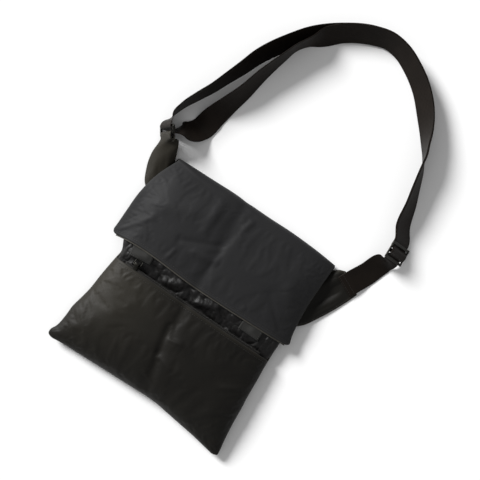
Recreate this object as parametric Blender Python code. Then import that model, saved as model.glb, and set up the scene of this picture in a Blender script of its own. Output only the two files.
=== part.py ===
"""A flap shoulder bag of dark nylon, lying flat on its back with its webbing strap looped above it.

X runs across the bag to its right, Y from the bottom seam towards the strap, and Z up from the surface
that it lies on. The origin is on the flat underside of the back panel, midway up the bag.
"""

import math
from typing import NamedTuple

import bmesh
import bpy
import numpy as np

MM = 0.001

# Sizes of the bag's body
BODY_WIDTH = 300 * MM
POUCH_HEIGHT = 153 * MM
BAND_HEIGHT = 33 * MM
FLAP_LENGTH = 149 * MM
FLAP_WIDTH = 1.06 * BODY_WIDTH
MOUTH_Y = -10 * MM
POUCH_DEPTH = 44 * MM
SEAM_HEIGHT = 13 * MM
LINING_DEPTH = 28 * MM
FLAP_DEPTH = 37 * MM
FLAP_TOP_SHARE = 0.62

# Walls and the gap kept between pieces
BACK_WALL = 2.4 * MM
FRONT_WALL = 2.0 * MM
FLAP_WALL = 2.4 * MM
LINING_WALL = 1.4 * MM
WING_WALL = 2.0 * MM
GAP = 0.3 * MM
CLOTH_GAP = 0.5 * MM

# Rounding of the body's edges and corners
BACK_CURL = 30 * MM
CORNER_ROUND = 4 * MM
SEAM_FADE = 45 * MM
FLAP_JOIN = 3 * MM

# Lining
LINING_TUCK = 48 * MM
LINING_NARROWING = 32 * MM
LINING_TOP_SETBACK = 17 * MM

# Flap's hem, closure tabs and zip
HEM_WIDTH = 7.5 * MM
HEM_SHOW = 1.6 * MM
HEM_WALL = 1.0 * MM
TAB_WIDTH = 35 * MM
TAB_SHOW = 15 * MM
TAB_LENGTH = 40 * MM
TAB_WALL = 1.6 * MM
TAB_LIFT = 0.6 * MM
TAB_LEFT_X = -0.3583 * BODY_WIDTH
TAB_RIGHT_X = 0.3217 * BODY_WIDTH
TAB_LEFT_TURN = 8.0
TAB_RIGHT_TURN = 0.0
TAPE_WIDTH = 11 * MM
TAPE_SHOW = 5 * MM
TAPE_WALL = 1.0 * MM
ZIP_PLACE = 0.16
ZIP_BODY_LENGTH = 11 * MM
ZIP_BODY_WIDTH = 7.5 * MM
ZIP_BODY_HEIGHT = 5.0 * MM
ZIP_BITE = 3.6 * MM
ZIP_SLOT = 2.2 * MM
ZIP_BAIL_HEIGHT = 4.6 * MM
ZIP_BAIL_THICKNESS = 1.4 * MM
ZIP_BAIL_BAR = 1.1 * MM
PULL_LENGTH = 10 * MM
PULL_WIDTH = 12 * MM
PULL_WIRE = 1.8 * MM
PULL_CORNER = 2.2 * MM
PULL_DROP = 14.0

# Webbing, its ring and its slider
WEBBING_WIDTH = 38 * MM
WEBBING_WALL = 1.6 * MM
WEBBING_CLEARANCE = 1.0 * MM
STRAP_REACH = 345 * MM
RING_WIRE = 3.5 * MM
RING_OPENING = 9 * MM
RING_LEAN = 60.0
RING_SLACK = 0.8 * MM
RING_WRAP_START = 167.0
RING_WRAP_END = 58.0
RING_LEAVE = 1.7
RING_COME_STRAIGHT = 2.2
RING_ACROSS = -0.6133
RING_REACH = 0.0725
RING_HEADING = 124.5
RING_CORNER = 2.6 * MM
STRAP_SLIDER_BAR = 4.2 * MM
STRAP_SLIDER_MIDDLE_BAR = 4.4 * MM
STRAP_SLIDER_SLOT = 7.9 * MM
STRAP_SLIDER_RAIL = 3.0 * MM
STRAP_SLIDER_WALL = 2.4 * MM
STRAP_SLIDER_ACROSS = 0.7217
STRAP_SLIDER_REACH = 0.1986
STRAP_SLIDER_LEAN = 45.0
STRAP_SLIDER_HEADING = 273.0
LAYER_GAP = 0.4 * MM

# Cloth wings
WING_RIGHT_REACH = 56 * MM
WING_RIGHT_BASE = 110 * MM
WING_LEFT_REACH = 43 * MM
WING_LEFT_BASE = 60 * MM
WING_LEFT_START = 0.52
WING_RIGHT_START = 0.22
WING_BASE_HEIGHT = 10 * MM
WING_GAP = 0.9 * MM
WING_TIP_WIDTH = 34 * MM
WING_TAIL = 12 * MM
WING_FOLD_RISE = 1.6 * MM
WING_FOLDS = 3.0
WING_FOLD_END = 0.75

# Places that follow from the sizes
BOTTOM_Y = MOUTH_Y - POUCH_HEIGHT
FLAP_EDGE_Y = MOUTH_Y + BAND_HEIGHT
TOP_Y = FLAP_EDGE_Y + FLAP_LENGTH
UPPER_HEIGHT = TOP_Y - MOUTH_Y
BODY_HEIGHT = TOP_Y - BOTTOM_Y
BACK_TOP_Y = TOP_Y - 0.5 * FLAP_DEPTH * FLAP_TOP_SHARE

# How finely the cloth is divided
ACROSS_STEPS = 20
POUCH_STEPS = 11
BACK_STEPS = 15
FLAP_STEPS = 11
CURL_STEPS = 6
WEBBING_STEP = 15 * MM
WING_STEPS = 8
WRAP_STEPS = 6


class SideRow(NamedTuple):
    """Where the two side seams are, at a height up a stretch of the body."""

    up: float
    left: float
    right: float


# Up is a share of the pouch's height from its bottom seam, left and right shares of the body's width
POUCH_SIDES = [
    SideRow(0.00, -0.546, 0.563),
    SideRow(0.06, -0.535, 0.549),
    SideRow(0.14, -0.516, 0.539),
    SideRow(0.26, -0.507, 0.528),
    SideRow(0.38, -0.505, 0.520),
    SideRow(0.49, -0.493, 0.515),
    SideRow(0.61, -0.482, 0.507),
    SideRow(0.77, -0.476, 0.500),
    SideRow(1.00, -0.463, 0.489),
]

# Up is a share of the height from the mouth to the top fold
UPPER_SIDES = [
    SideRow(0.07, -0.458, 0.487),
    SideRow(0.16, -0.482, 0.487),
    SideRow(0.50, -0.490, 0.489),
    SideRow(1.00, -0.490, 0.489),
]


class EdgeRow(NamedTuple):
    """How far an edge across the bag lies from its straight line."""

    across: float
    drop: float


# Drop of the bottom seam, a share of the pouch's height
BOTTOM_EDGE = [
    EdgeRow(0.00, 0.055),
    EdgeRow(0.08, 0.032),
    EdgeRow(0.20, 0.020),
    EdgeRow(0.42, 0.000),
    EdgeRow(0.62, -0.008),
    EdgeRow(0.70, 0.013),
    EdgeRow(0.84, 0.050),
    EdgeRow(0.94, 0.086),
    EdgeRow(1.00, 0.108),
]

# Drop of the flap's free edge, a share of the flap's length
FLAP_FREE_EDGE = [
    EdgeRow(0.00, 0.027),
    EdgeRow(0.07, 0.000),
    EdgeRow(0.50, 0.000),
    EdgeRow(1.00, -0.030),
]

# Drop of the top fold, a share of the flap's length
TOP_FOLD = [
    EdgeRow(0.00, 0.004),
    EdgeRow(0.20, 0.008),
    EdgeRow(0.42, -0.012),
    EdgeRow(0.55, -0.003),
    EdgeRow(0.72, -0.018),
    EdgeRow(1.00, 0.002),
]


class FlapRow(NamedTuple):
    """Where the flap's side edges are, as shares of its width, at a share of its length."""

    along: float
    left: float
    right: float


FLAP_SIDES = [
    FlapRow(0.00, -0.522, 0.503),
    FlapRow(0.10, -0.520, 0.487),
    FlapRow(0.25, -0.520, 0.475),
    FlapRow(0.50, -0.518, 0.464),
    FlapRow(0.75, -0.497, 0.464),
    FlapRow(1.00, -0.452, 0.468),
]


class SectionRow(NamedTuple):
    """How high a section across a piece stands, as shares of its depth."""

    across: float
    height: float


FLAP_SECTION = [
    SectionRow(0.00, 0.45),
    SectionRow(0.04, 0.56),
    SectionRow(0.10, 0.80),
    SectionRow(0.20, 0.96),
    SectionRow(0.50, 1.00),
    SectionRow(0.80, 0.95),
    SectionRow(0.91, 0.80),
    SectionRow(0.97, 0.60),
    SectionRow(1.00, 0.47),
]


class CrownRow(NamedTuple):
    """How high the middle of a piece stands along it, as shares of its depth."""

    along: float
    height: float


FLAP_CROWN = [
    CrownRow(0.00, 0.95),
    CrownRow(0.30, 1.00),
    CrownRow(0.60, 0.97),
    CrownRow(0.85, 0.80),
    CrownRow(1.00, FLAP_TOP_SHARE),
]

LINING_CROWN = [
    CrownRow(0.00, 0.13),
    CrownRow(0.10, 0.36),
    CrownRow(0.21, 0.80),
    CrownRow(0.30, 0.97),
    CrownRow(0.60, 1.00),
    CrownRow(0.85, 0.74),
    CrownRow(1.00, 0.42),
]

POUCH_CROWN = [
    CrownRow(0.00, 0.90),
    CrownRow(0.35, 1.00),
    CrownRow(0.70, 0.96),
    CrownRow(1.00, 0.87),
]


class FoldRow(NamedTuple):
    """A ridge, or a crease where rise is below zero, between two places.

    The places are shares of the body's width and height from the origin. Width is a share of the body's
    width and rise a share of the pouch's depth.
    """

    start_x: float
    start_y: float
    end_x: float
    end_y: float
    width: float
    rise: float


FLAP_FOLDS = [
    FoldRow(-0.060, 0.500, -0.030, 0.060, 0.035, -0.045),
    FoldRow(-0.410, 0.290, -0.170, 0.390, 0.050, 0.050),
    FoldRow(-0.160, 0.310, -0.165, 0.450, 0.030, 0.035),
    FoldRow(0.370, 0.300, 0.490, 0.175, 0.040, 0.045),
    FoldRow(-0.500, 0.330, -0.440, 0.500, 0.040, 0.050),
    FoldRow(0.120, 0.360, 0.280, 0.410, 0.060, -0.030),
]

POUCH_FOLDS = [
    FoldRow(-0.030, -0.040, 0.035, -0.440, 0.035, -0.060),
    FoldRow(0.010, -0.210, 0.090, -0.190, 0.035, 0.040),
    FoldRow(-0.430, -0.080, -0.300, -0.260, 0.060, 0.035),
    FoldRow(0.400, -0.060, 0.300, -0.300, 0.070, -0.040),
    FoldRow(-0.500, -0.460, -0.400, -0.380, 0.045, 0.060),
    FoldRow(0.500, -0.480, 0.400, -0.380, 0.050, 0.060),
]

LINING_FOLDS = [
    FoldRow(-0.440, 0.010, -0.330, 0.050, 0.022, 0.060),
    FoldRow(-0.265, 0.035, -0.200, -0.010, 0.018, -0.070),
    FoldRow(-0.190, 0.000, -0.080, 0.050, 0.020, 0.060),
    FoldRow(-0.060, 0.045, 0.000, -0.010, 0.018, -0.070),
    FoldRow(0.010, 0.005, 0.110, 0.045, 0.020, 0.060),
    FoldRow(0.140, 0.045, 0.200, -0.010, 0.018, -0.065),
    FoldRow(0.330, 0.045, 0.420, -0.005, 0.022, 0.060),
]


class RouteRow(NamedTuple):
    """A place on the strap's way from its ring to its slider, for the layer that runs through both.

    Across is a share of the body's width, reach a share of the strap's reach above the top fold. Lean is
    the turn of the webbing about its own length, in degrees: 0 lies flat, 90 stands on its edge, and over 90
    leans away from the loop. Lift is how far its lower edge is off the floor, a share of its width.
    """

    across: float
    reach: float
    lean: float
    lift: float = 0.0


STRAP_ROUTE = [
    RouteRow(-0.630, 0.123, 78),
    RouteRow(-0.633, 0.150, 90),
    RouteRow(-0.619, 0.201, 97),
    RouteRow(-0.581, 0.275, 103),
    RouteRow(-0.542, 0.344, 106),
    RouteRow(-0.509, 0.417, 110),
    RouteRow(-0.473, 0.496, 116),
    RouteRow(-0.439, 0.577, 121),
    RouteRow(-0.393, 0.652, 124),
    RouteRow(-0.349, 0.710, 125),
    RouteRow(-0.287, 0.780, 129),
    RouteRow(-0.155, 0.877, 134),
    RouteRow(-0.012, 0.948, 130),
    RouteRow(0.069, 0.968, 126),
    RouteRow(0.156, 0.960, 125),
    RouteRow(0.250, 0.925, 126),
    RouteRow(0.351, 0.867, 127),
    RouteRow(0.443, 0.784, 124),
    RouteRow(0.490, 0.729, 113),
    RouteRow(0.530, 0.671, 99),
    RouteRow(0.558, 0.630, 90),
    RouteRow(0.579, 0.585, 79),
    RouteRow(0.618, 0.478, 66),
    RouteRow(0.640, 0.417, 60),
    RouteRow(0.669, 0.318, 50),
]

# The layer that comes back from the ring, until it lies against the other one. Lean below zero has the
# layer's other edge raised.
RETURN_ROUTE = [
    RouteRow(-0.552, 0.114, 56, 0.10),
    RouteRow(-0.508, 0.128, 32, 0.05),
    RouteRow(-0.478, 0.164, 6),
    RouteRow(-0.457, 0.238, -23),
    RouteRow(-0.428, 0.322, -44),
    RouteRow(-0.399, 0.403, -56),
    RouteRow(-0.370, 0.519, -67),
    RouteRow(-0.334, 0.626, -77),
    RouteRow(-0.301, 0.710, -82),
    RouteRow(-0.262, 0.762, -76),
    RouteRow(-0.208, 0.825, -46),
]
RETURN_JOINS_AT = -0.155

# From the slider to the seam on the right wing
TAIL_ROUTE = [
    RouteRow(0.694, 0.130, 28),
    RouteRow(0.655, 0.045, 16),
    RouteRow(0.618, -0.020, 12),
]
TAIL_END = RouteRow(0.597, -0.060, 12)


class ThreadRow(NamedTuple):
    """A place where the webbing passes the slider's middle bar."""

    along: float
    above: float
    layers: float = 0.0


# Along is a share of the way from the bar's middle to webbing that lies beside it, above a share of the way
# to webbing that lies on it, and layers how many layers of webbing it is further up
FIXED_END = [
    ThreadRow(-0.40, -1.00),
    ThreadRow(0.60, -1.00),
    ThreadRow(1.00, -0.45),
    ThreadRow(1.00, 0.45),
    ThreadRow(0.60, 1.00),
    ThreadRow(-0.60, 1.00),
    ThreadRow(-1.00, 0.70),
    ThreadRow(-1.15, 0.00),
    ThreadRow(-2.20, -1.00, -1),
    ThreadRow(-3.20, -1.00, -1),
    ThreadRow(-4.60, -1.00, -1),
]
RUNNING_END = [
    ThreadRow(-4.60, -1.00),
    ThreadRow(-2.65, -1.00),
    ThreadRow(-1.70, 0.50),
    ThreadRow(-1.25, 1.40),
    ThreadRow(-0.60, 1.00, 1),
    ThreadRow(0.60, 1.00, 1),
    ThreadRow(1.30, 1.40),
    ThreadRow(1.75, 0.40),
    ThreadRow(2.70, -1.00),
    ThreadRow(3.60, -1.00),
    ThreadRow(4.60, -1.00),
]


class WingRow(NamedTuple):
    """The two edges of a cloth wing at a share of its length.

    Out and side are shares of the wing's reach and of its base, from the base's lower corner, for the lower
    and the upper edge, and rise is a share of the wing's base height.
    """

    along: float
    low_out: float
    low_side: float
    low_rise: float
    high_out: float
    high_side: float
    high_rise: float


WING_RIGHT = [
    WingRow(0.0, 0.00, 0.000, 1.00, 0.00, 0.960, 0.35),
    WingRow(0.2, 0.24, 0.110, 0.55, 0.07, 0.980, 0.45),
    WingRow(0.4, 0.49, 0.320, 0.22, 0.14, 1.005, 0.60),
    WingRow(0.6, 0.71, 0.540, 0.15, 0.21, 1.030, 0.72),
    WingRow(0.8, 0.87, 0.730, 0.13, 0.28, 1.045, 0.80),
    WingRow(1.0, 0.98, 0.880, 0.13, 0.35, 1.060, 0.92),
]

WING_LEFT = [
    WingRow(0.00, 0.00, 0.00, 1.00, 0.00, 1.00, 0.35),
    WingRow(0.30, 0.42, 0.15, 0.70, 0.08, 1.20, 1.00),
    WingRow(0.55, 0.68, 0.46, 0.45, 0.17, 1.38, 1.90),
    WingRow(0.80, 0.86, 0.93, 0.45, 0.33, 1.54, 2.80),
]

# The same shares for the left wing's cloth round the ring's lower bar
WING_WRAP = [
    ThreadRow(-2.20, 0.80),
    ThreadRow(0.00, 1.00),
    ThreadRow(0.72, 0.72),
    ThreadRow(1.00, 0.00),
    ThreadRow(0.72, -0.72),
    ThreadRow(0.00, -1.00),
]


def column(rows, name):
    """One named column of a table, as an array."""
    return np.array([getattr(row, name) for row in rows], float)


def blend(knots, values, at):
    """Reads a smooth curve through (knots, values) at one place or many. Values may be points."""
    knots = np.asarray(knots, float)
    values = np.asarray(values, float)
    slopes = np.gradient(values, knots, axis=0)
    at = np.clip(np.asarray(at, float), knots[0], knots[-1])
    below = np.clip(np.searchsorted(knots, at, side="right") - 1, 0, len(knots) - 2)
    step = knots[below + 1] - knots[below]
    t = (at - knots[below]) / step
    if values.ndim > 1:
        t = t[..., None]
        step = step[..., None]
    start_part = (1 + 2 * t) * (1 - t) ** 2 * values[below]
    end_part = t * t * (3 - 2 * t) * values[below + 1]
    start_slope = t * (1 - t) ** 2 * step * slopes[below]
    end_slope = t * t * (t - 1) * step * slopes[below + 1]
    return start_part + end_part + start_slope + end_slope


def smooth_step(low, high, at):
    """0 below low, 1 above high, and a smooth ramp between."""
    t = np.clip((at - low) / (high - low), 0, 1)
    return t * t * (3 - 2 * t)


def edge_spaced(steps):
    """Shares from 0 to 1 that lie closer together near both ends."""
    even = np.linspace(0, 1, steps + 1)
    return 0.45 * even + 0.55 * (0.5 - 0.5 * np.cos(math.pi * even))


def unit(vector):
    """The vector, or each vector of an array, at length one."""
    return vector / np.linalg.norm(vector, axis=-1, keepdims=True)


def points(x, y, z):
    """An array of points from three arrays of coordinates."""
    return np.stack(np.broadcast_arrays(x, y, z), axis=-1)


def relief(folds, x, y):
    """Height that a table of ridges and creases adds at a place."""
    height = np.zeros(np.broadcast(x, y).shape)
    for fold in folds:
        start = np.array([fold.start_x * BODY_WIDTH, fold.start_y * BODY_HEIGHT])
        run = np.array([fold.end_x * BODY_WIDTH, fold.end_y * BODY_HEIGHT]) - start
        share = np.clip(((x - start[0]) * run[0] + (y - start[1]) * run[1]) / (run @ run), 0, 1)
        away = np.hypot(x - start[0] - share * run[0], y - start[1] - share * run[1])
        height = height + fold.rise * POUCH_DEPTH * np.exp(-((away / (fold.width * BODY_WIDTH)) ** 2))
    return height


def make_material(name, colour, roughness, metallic=0.0):
    """A Principled material with the finish that the part shows."""
    material = bpy.data.materials.new(name)
    material.use_nodes = True
    shader = material.node_tree.nodes["Principled BSDF"]
    shader.inputs["Base Color"].default_value = (*colour, 1.0)
    shader.inputs["Roughness"].default_value = roughness
    shader.inputs["Metallic"].default_value = metallic
    material.diffuse_color = (*colour, 1.0)
    return material


def add_object(name, shape, material):
    """Turns a closed bmesh, whose faces all wind one way, into a named object with its faces pointing out."""
    if shape.calc_volume(signed=True) < 0:
        bmesh.ops.reverse_faces(shape, faces=shape.faces)
    mesh = bpy.data.meshes.new(name)
    shape.to_mesh(mesh)
    shape.free()
    mesh.materials.append(material)
    mesh.shade_smooth()
    mesh.set_sharp_from_angle(angle=math.radians(40))
    made = bpy.data.objects.new(name, mesh)
    bpy.context.scene.collection.objects.link(made)
    return made


def add_skin(name, upper, lower, material):
    """One closed solid between two grids of points that have the same rows and columns."""
    rows, columns = upper.shape[:2]
    shape = bmesh.new()
    top = [[shape.verts.new(place) for place in row] for row in upper]
    under = [[shape.verts.new(place) for place in row] for row in lower]
    for i in range(rows - 1):
        for j in range(columns - 1):
            cell = ((i, j), (i, j + 1), (i + 1, j + 1), (i + 1, j))
            for corners in (cell[:3], (cell[0], *cell[2:])):
                shape.faces.new([top[k][m] for k, m in corners])
                shape.faces.new([under[k][m] for k, m in reversed(corners)])
    rim = [(0, j) for j in range(columns)]
    rim += [(i, columns - 1) for i in range(1, rows)]
    rim += [(rows - 1, j) for j in range(columns - 2, -1, -1)]
    rim += [(i, 0) for i in range(rows - 2, 0, -1)]
    for (i, j), (k, m) in zip(rim, rim[1:] + rim[:1]):
        shape.faces.new((top[k][m], top[i][j], under[i][j], under[k][m]))
    return add_object(name, shape, material)


def headings(line):
    """The direction at each point along the first axis of an array, halfway between its two neighbours."""
    steps = unit(np.diff(line, axis=0))
    return unit(np.concatenate([steps[:1], steps]) + np.concatenate([steps, steps[-1:]]))


def grid_normals(middle):
    """Unit normals of a grid of points, by its rows and columns."""
    return unit(np.cross(headings(middle.swapaxes(0, 1)).swapaxes(0, 1), headings(middle)))


def add_cloth(name, middle, wall, material):
    """A sheet of even thickness about a grid of points on its middle surface."""
    offset = grid_normals(middle) * wall / 2
    return add_skin(name, middle + offset, middle - offset, material)


def add_ring(name, path, radius, sides, material):
    """A closed round wire along a loop of points."""
    ahead = unit(np.roll(path, -1, axis=0) - np.roll(path, 1, axis=0))
    plane = unit(np.cross(path[0] - path.mean(axis=0), ahead[0]))
    outward = unit(np.cross(ahead, plane))
    shape = bmesh.new()
    rings = []
    for place, side in zip(path, outward):
        angles = [2 * math.pi * k / sides for k in range(sides)]
        ring = [place + radius * (math.cos(a) * side + math.sin(a) * plane) for a in angles]
        rings.append([shape.verts.new(point) for point in ring])
    for one, two in zip(rings, rings[1:] + rings[:1]):
        for k in range(sides):
            m = (k + 1) % sides
            shape.faces.new((one[k], one[m], two[m], two[k]))
    return add_object(name, shape, material)


def rounded_loop(length, width, corner, corner_steps):
    """Points round a rectangle with round corners, about the origin in X and Y."""
    loop = []
    for quarter in range(4):
        sign_x = 1 if quarter in (0, 3) else -1
        sign_y = 1 if quarter in (0, 1) else -1
        for step in range(corner_steps + 1):
            angle = math.pi / 2 * (quarter + step / corner_steps)
            x = sign_x * (length / 2 - corner) + corner * math.cos(angle)
            y = sign_y * (width / 2 - corner) + corner * math.sin(angle)
            loop.append((x, y, 0.0))
    return np.array(loop)


def seam_x(y):
    """The left and the right side seam at a height up the body."""
    knots = np.concatenate(
        [BOTTOM_Y + column(POUCH_SIDES, "up") * POUCH_HEIGHT, MOUTH_Y + column(UPPER_SIDES, "up") * UPPER_HEIGHT]
    )
    rows = POUCH_SIDES + UPPER_SIDES
    left = blend(knots, column(rows, "left"), y) * BODY_WIDTH
    right = blend(knots, column(rows, "right"), y) * BODY_WIDTH
    return left, right


def seam_height(y):
    """The height of the side seam, which falls to the floor near the top fold."""
    return SEAM_HEIGHT + (1.6 * BACK_WALL - SEAM_HEIGHT) * smooth_step(BACK_TOP_Y - SEAM_FADE, BACK_TOP_Y, y)


def body_plan(across, y, inset):
    """Where a place on the body is from above.

    Across runs from 0 at the left seam to 1 at the right one, and y is the height up the body before the
    bottom seam's own line is added. Inset draws the place in from the seams.
    """
    left, right = seam_x(y)
    side = 2 * across - 1
    lowness = np.clip((MOUTH_Y - y) / POUCH_HEIGHT, 0, 1)
    drop = blend(column(BOTTOM_EDGE, "across"), column(BOTTOM_EDGE, "drop"), across) * POUCH_HEIGHT
    x = (left + inset) * (1 - across) + (right - inset) * across
    x = x - side * CORNER_ROUND * lowness**12
    lift = CORNER_ROUND * np.abs(side) ** 12 * lowness**2
    return x, y + lowness * (inset - drop) + lift


def fill(across):
    """Share of the full height that a puffed section has across the body."""
    return (1 - np.abs(2 * across - 1) ** 3) ** 0.55


def pouch_height(across, lowness, depth, x, y):
    """Height of the front panel's face over its seam."""
    crown = blend(column(POUCH_CROWN, "along"), column(POUCH_CROWN, "height"), 1 - lowness)
    puff = fill(across) * (1 - lowness**5) ** 0.6
    return puff * (crown * (depth - SEAM_HEIGHT) + relief(POUCH_FOLDS, x, y))


def pouch_face(across, y, inset):
    """A place on the front panel, on its outer face where inset is 0 and its inner one where it is the wall."""
    x, plan_y = body_plan(across, y, inset)
    lowness = np.clip((MOUTH_Y - y) / POUCH_HEIGHT, 0, 1)
    z = SEAM_HEIGHT + GAP / 2 + pouch_height(across, lowness, POUCH_DEPTH - inset, x, plan_y)
    return points(x, plan_y, z)


def back_height(across, y):
    """Share by which the back panel curls up at a place, 0 where it lies flat and 1 at the seams."""
    left, right = seam_x(y)
    from_side = (1 - np.abs(2 * across - 1)) * (right - left) / 2
    from_bottom = y - BOTTOM_Y
    side_curl = np.clip(1 - from_side / BACK_CURL, 0, 1) ** 2
    bottom_curl = np.clip(1 - from_bottom / BACK_CURL, 0, 1) ** 2
    return 1 - (1 - side_curl) * (1 - bottom_curl)


def build_back_panel(material):
    """The back wall: flat on the floor, curled up round its sides and bottom, ending under the top fold."""
    across = edge_spaced(ACROSS_STEPS)[None, :]
    y = (BOTTOM_Y + (BACK_TOP_Y - BOTTOM_Y) * edge_spaced(BACK_STEPS))[:, None]
    curl = back_height(across, y)
    rim = seam_height(y) - GAP / 2
    outer_x, outer_y = body_plan(across, y, 0.0)
    inner_x, inner_y = body_plan(across, y, BACK_WALL)
    outer = points(outer_x, outer_y, rim * curl)
    inner = points(inner_x, inner_y, BACK_WALL + (rim - BACK_WALL) * curl)
    return add_skin("back_panel", inner, outer, material)


def build_front_panel(material):
    """The front wall of the pouch: a puffed shell over the back panel, open at the mouth."""
    across = edge_spaced(ACROSS_STEPS)[None, :]
    y = (BOTTOM_Y + POUCH_HEIGHT * edge_spaced(POUCH_STEPS))[:, None]
    outer = pouch_face(across, y, 0.0)
    inner = pouch_face(across, y, FRONT_WALL)
    return add_skin("front_panel", outer, inner, material)


def lining_middle(across, y):
    """A place on the middle surface of the lining."""
    tucked = 1 - smooth_step(MOUTH_Y - LINING_TUCK, MOUTH_Y + 0.3 * BAND_HEIGHT, y)
    under_front = 1 - smooth_step(MOUTH_Y, MOUTH_Y + 0.5 * BAND_HEIGHT, y)
    inset = LINING_WALL / 2 + GAP + LINING_NARROWING * tucked**2 + (FRONT_WALL + CLOTH_GAP) * under_front
    left, right = seam_x(y)
    x = (left + inset) * (1 - across) + (right - inset) * across
    curl = np.clip(1 - (inset - BACK_WALL) / BACK_CURL, 0, 1) ** 2
    rim = seam_height(y) + CLOTH_GAP + LINING_WALL
    floor = BACK_WALL + LINING_WALL / 2 + CLOTH_GAP
    edge = floor + (rim - floor) * curl
    start = MOUTH_Y - LINING_TUCK
    along = (y - start) / (TOP_Y - LINING_TOP_SETBACK - start)
    crown = LINING_DEPTH * blend(column(LINING_CROWN, "along"), column(LINING_CROWN, "height"), along)
    crown = np.maximum(crown, edge)
    z = edge + (crown - edge + relief(LINING_FOLDS, x, y)) * fill(across)
    return points(x, y, z)


def build_lining(material):
    """The inner cloth: tucked into the pouch, bare in the band, and holding the flap up above it."""
    across = edge_spaced(ACROSS_STEPS + 8)[None, :]
    start = MOUTH_Y - LINING_TUCK
    in_pouch = np.linspace(start, MOUTH_Y, 4)
    in_band = np.linspace(MOUTH_Y, FLAP_EDGE_Y, 5)[1:]
    under_flap = np.linspace(FLAP_EDGE_Y, TOP_Y - LINING_TOP_SETBACK, 6)[1:]
    y = np.concatenate([in_pouch, in_band, under_flap])[:, None]
    return add_cloth("lining", lining_middle(across, y), LINING_WALL, material)


def flap_middle(across, along):
    """A place on the middle surface of the flap, from its free edge to where it starts to fold over."""
    free = FLAP_EDGE_Y - FLAP_LENGTH * blend(
        column(FLAP_FREE_EDGE, "across"), column(FLAP_FREE_EDGE, "drop"), across
    )
    fold = top_fold_y(across) - fold_radius(across)
    y = free + (fold - free) * along
    left = blend(column(FLAP_SIDES, "along"), column(FLAP_SIDES, "left"), along) * FLAP_WIDTH
    right = blend(column(FLAP_SIDES, "along"), column(FLAP_SIDES, "right"), along) * FLAP_WIDTH
    x = left * (1 - across) + right * across
    rise = blend(column(FLAP_CROWN, "along"), column(FLAP_CROWN, "height"), along)
    section = blend(column(FLAP_SECTION, "across"), column(FLAP_SECTION, "height"), across)
    return points(x, y, FLAP_DEPTH * rise * section + relief(FLAP_FOLDS, x, y) * section)


def top_fold_y(across):
    """How far up the bag its top fold reaches."""
    return TOP_Y - FLAP_LENGTH * blend(column(TOP_FOLD, "across"), column(TOP_FOLD, "drop"), across)


def fold_radius(across):
    """Radius of the round top fold."""
    section = blend(column(FLAP_SECTION, "across"), column(FLAP_SECTION, "height"), across)
    return (FLAP_DEPTH * FLAP_CROWN[-1].height * section - BACK_WALL / 2) / 2


def build_flap(material):
    """The flap: its free edge in front, its padded face, and the round fold down to the back panel."""
    across = edge_spaced(ACROSS_STEPS)[None, :]
    along = np.linspace(0, 1, FLAP_STEPS + 1)[:, None]
    face = flap_middle(across, along)
    start = face[-1]
    end_x, _ = body_plan(across[0], np.array(BACK_TOP_Y), 0.0)
    rows = []
    for step in range(1, CURL_STEPS + 1):
        angle = math.pi * step / CURL_STEPS
        down = (1 - math.cos(angle)) / 2
        radius = (start[:, 2] - BACK_WALL / 2) / 2
        x = start[:, 0] + (end_x - start[:, 0]) * down
        flat_y = start[:, 1] + (BACK_TOP_Y + FLAP_JOIN - start[:, 1]) * down
        z = start[:, 2] + (BACK_WALL / 2 - start[:, 2]) * down
        rows.append(points(x, flat_y + radius * math.sin(angle), z))
    rows.append(points(end_x, BACK_TOP_Y + CLOTH_GAP, BACK_WALL / 2))
    return add_cloth("flap", np.concatenate([face, np.array(rows)]), FLAP_WALL, material)


def build_flap_hem(material):
    """The binding that shows as a thin line under the flap's free edge."""
    across = edge_spaced(ACROSS_STEPS)[None, 1:-1]
    along = np.array([-HEM_SHOW, HEM_WIDTH - HEM_SHOW])[:, None] / FLAP_LENGTH
    face = flap_middle(across, np.abs(along))
    edge = flap_middle(across, np.zeros((1, 1)))
    face[0] = edge[0] - (face[0] - edge[0])
    face[..., 2] -= (FLAP_WALL + HEM_WALL) / 2 + GAP
    return add_cloth("flap_hem", face, HEM_WALL, material)


def build_tab(name, middle_x, turn, material):
    """A webbing tab that lies on the lining and comes out from under the flap's free edge."""
    angle = math.radians(turn)
    side = np.linspace(-TAB_WIDTH / 2, TAB_WIDTH / 2, 8)[None, :]
    up = np.linspace(-TAB_SHOW, TAB_LENGTH - TAB_SHOW, 7)[:, None]
    x = middle_x + side * math.cos(angle) - up * math.sin(angle)
    y = FLAP_EDGE_Y + side * math.sin(angle) + up * math.cos(angle)
    left, right = seam_x(y)
    under = lining_middle((x - left) / (right - left), y)
    lift = (LINING_WALL + TAB_WALL) / 2 + TAB_LIFT
    return add_cloth(name, points(x, y, under[..., 2] + lift), TAB_WALL, material)


def tape_middle(across, out):
    """A place on the zip tape, at a distance out from the mouth's hem."""
    hem = pouch_face(across, np.full_like(across, MOUTH_Y), FRONT_WALL)
    hem[..., 1] += out
    hem[..., 2] -= CLOTH_GAP + TAPE_WALL / 2
    return hem


def build_zip_tape(material):
    """The zip's tape, sewn under the mouth's hem."""
    across = edge_spaced(ACROSS_STEPS)[None, 2:-2]
    rows = [tape_middle(across, out)[0] for out in (TAPE_SHOW - TAPE_WIDTH, 0.0, TAPE_SHOW)]
    return add_cloth("zip_tape", np.array(rows), TAPE_WALL, material)


def zip_place():
    """The middle of the zip slider's bite on the tape's edge, and the tape's slope there."""
    shares = edge_spaced(ACROSS_STEPS)[None, :]
    ends = tape_middle(shares, TAPE_SHOW)[0]
    cell = int(ZIP_PLACE * ACROSS_STEPS)
    one = ends[cell]
    two = ends[cell + 1]
    slope = math.atan2(two[2] - one[2], two[0] - one[0])
    return (one + two) / 2, slope


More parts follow.
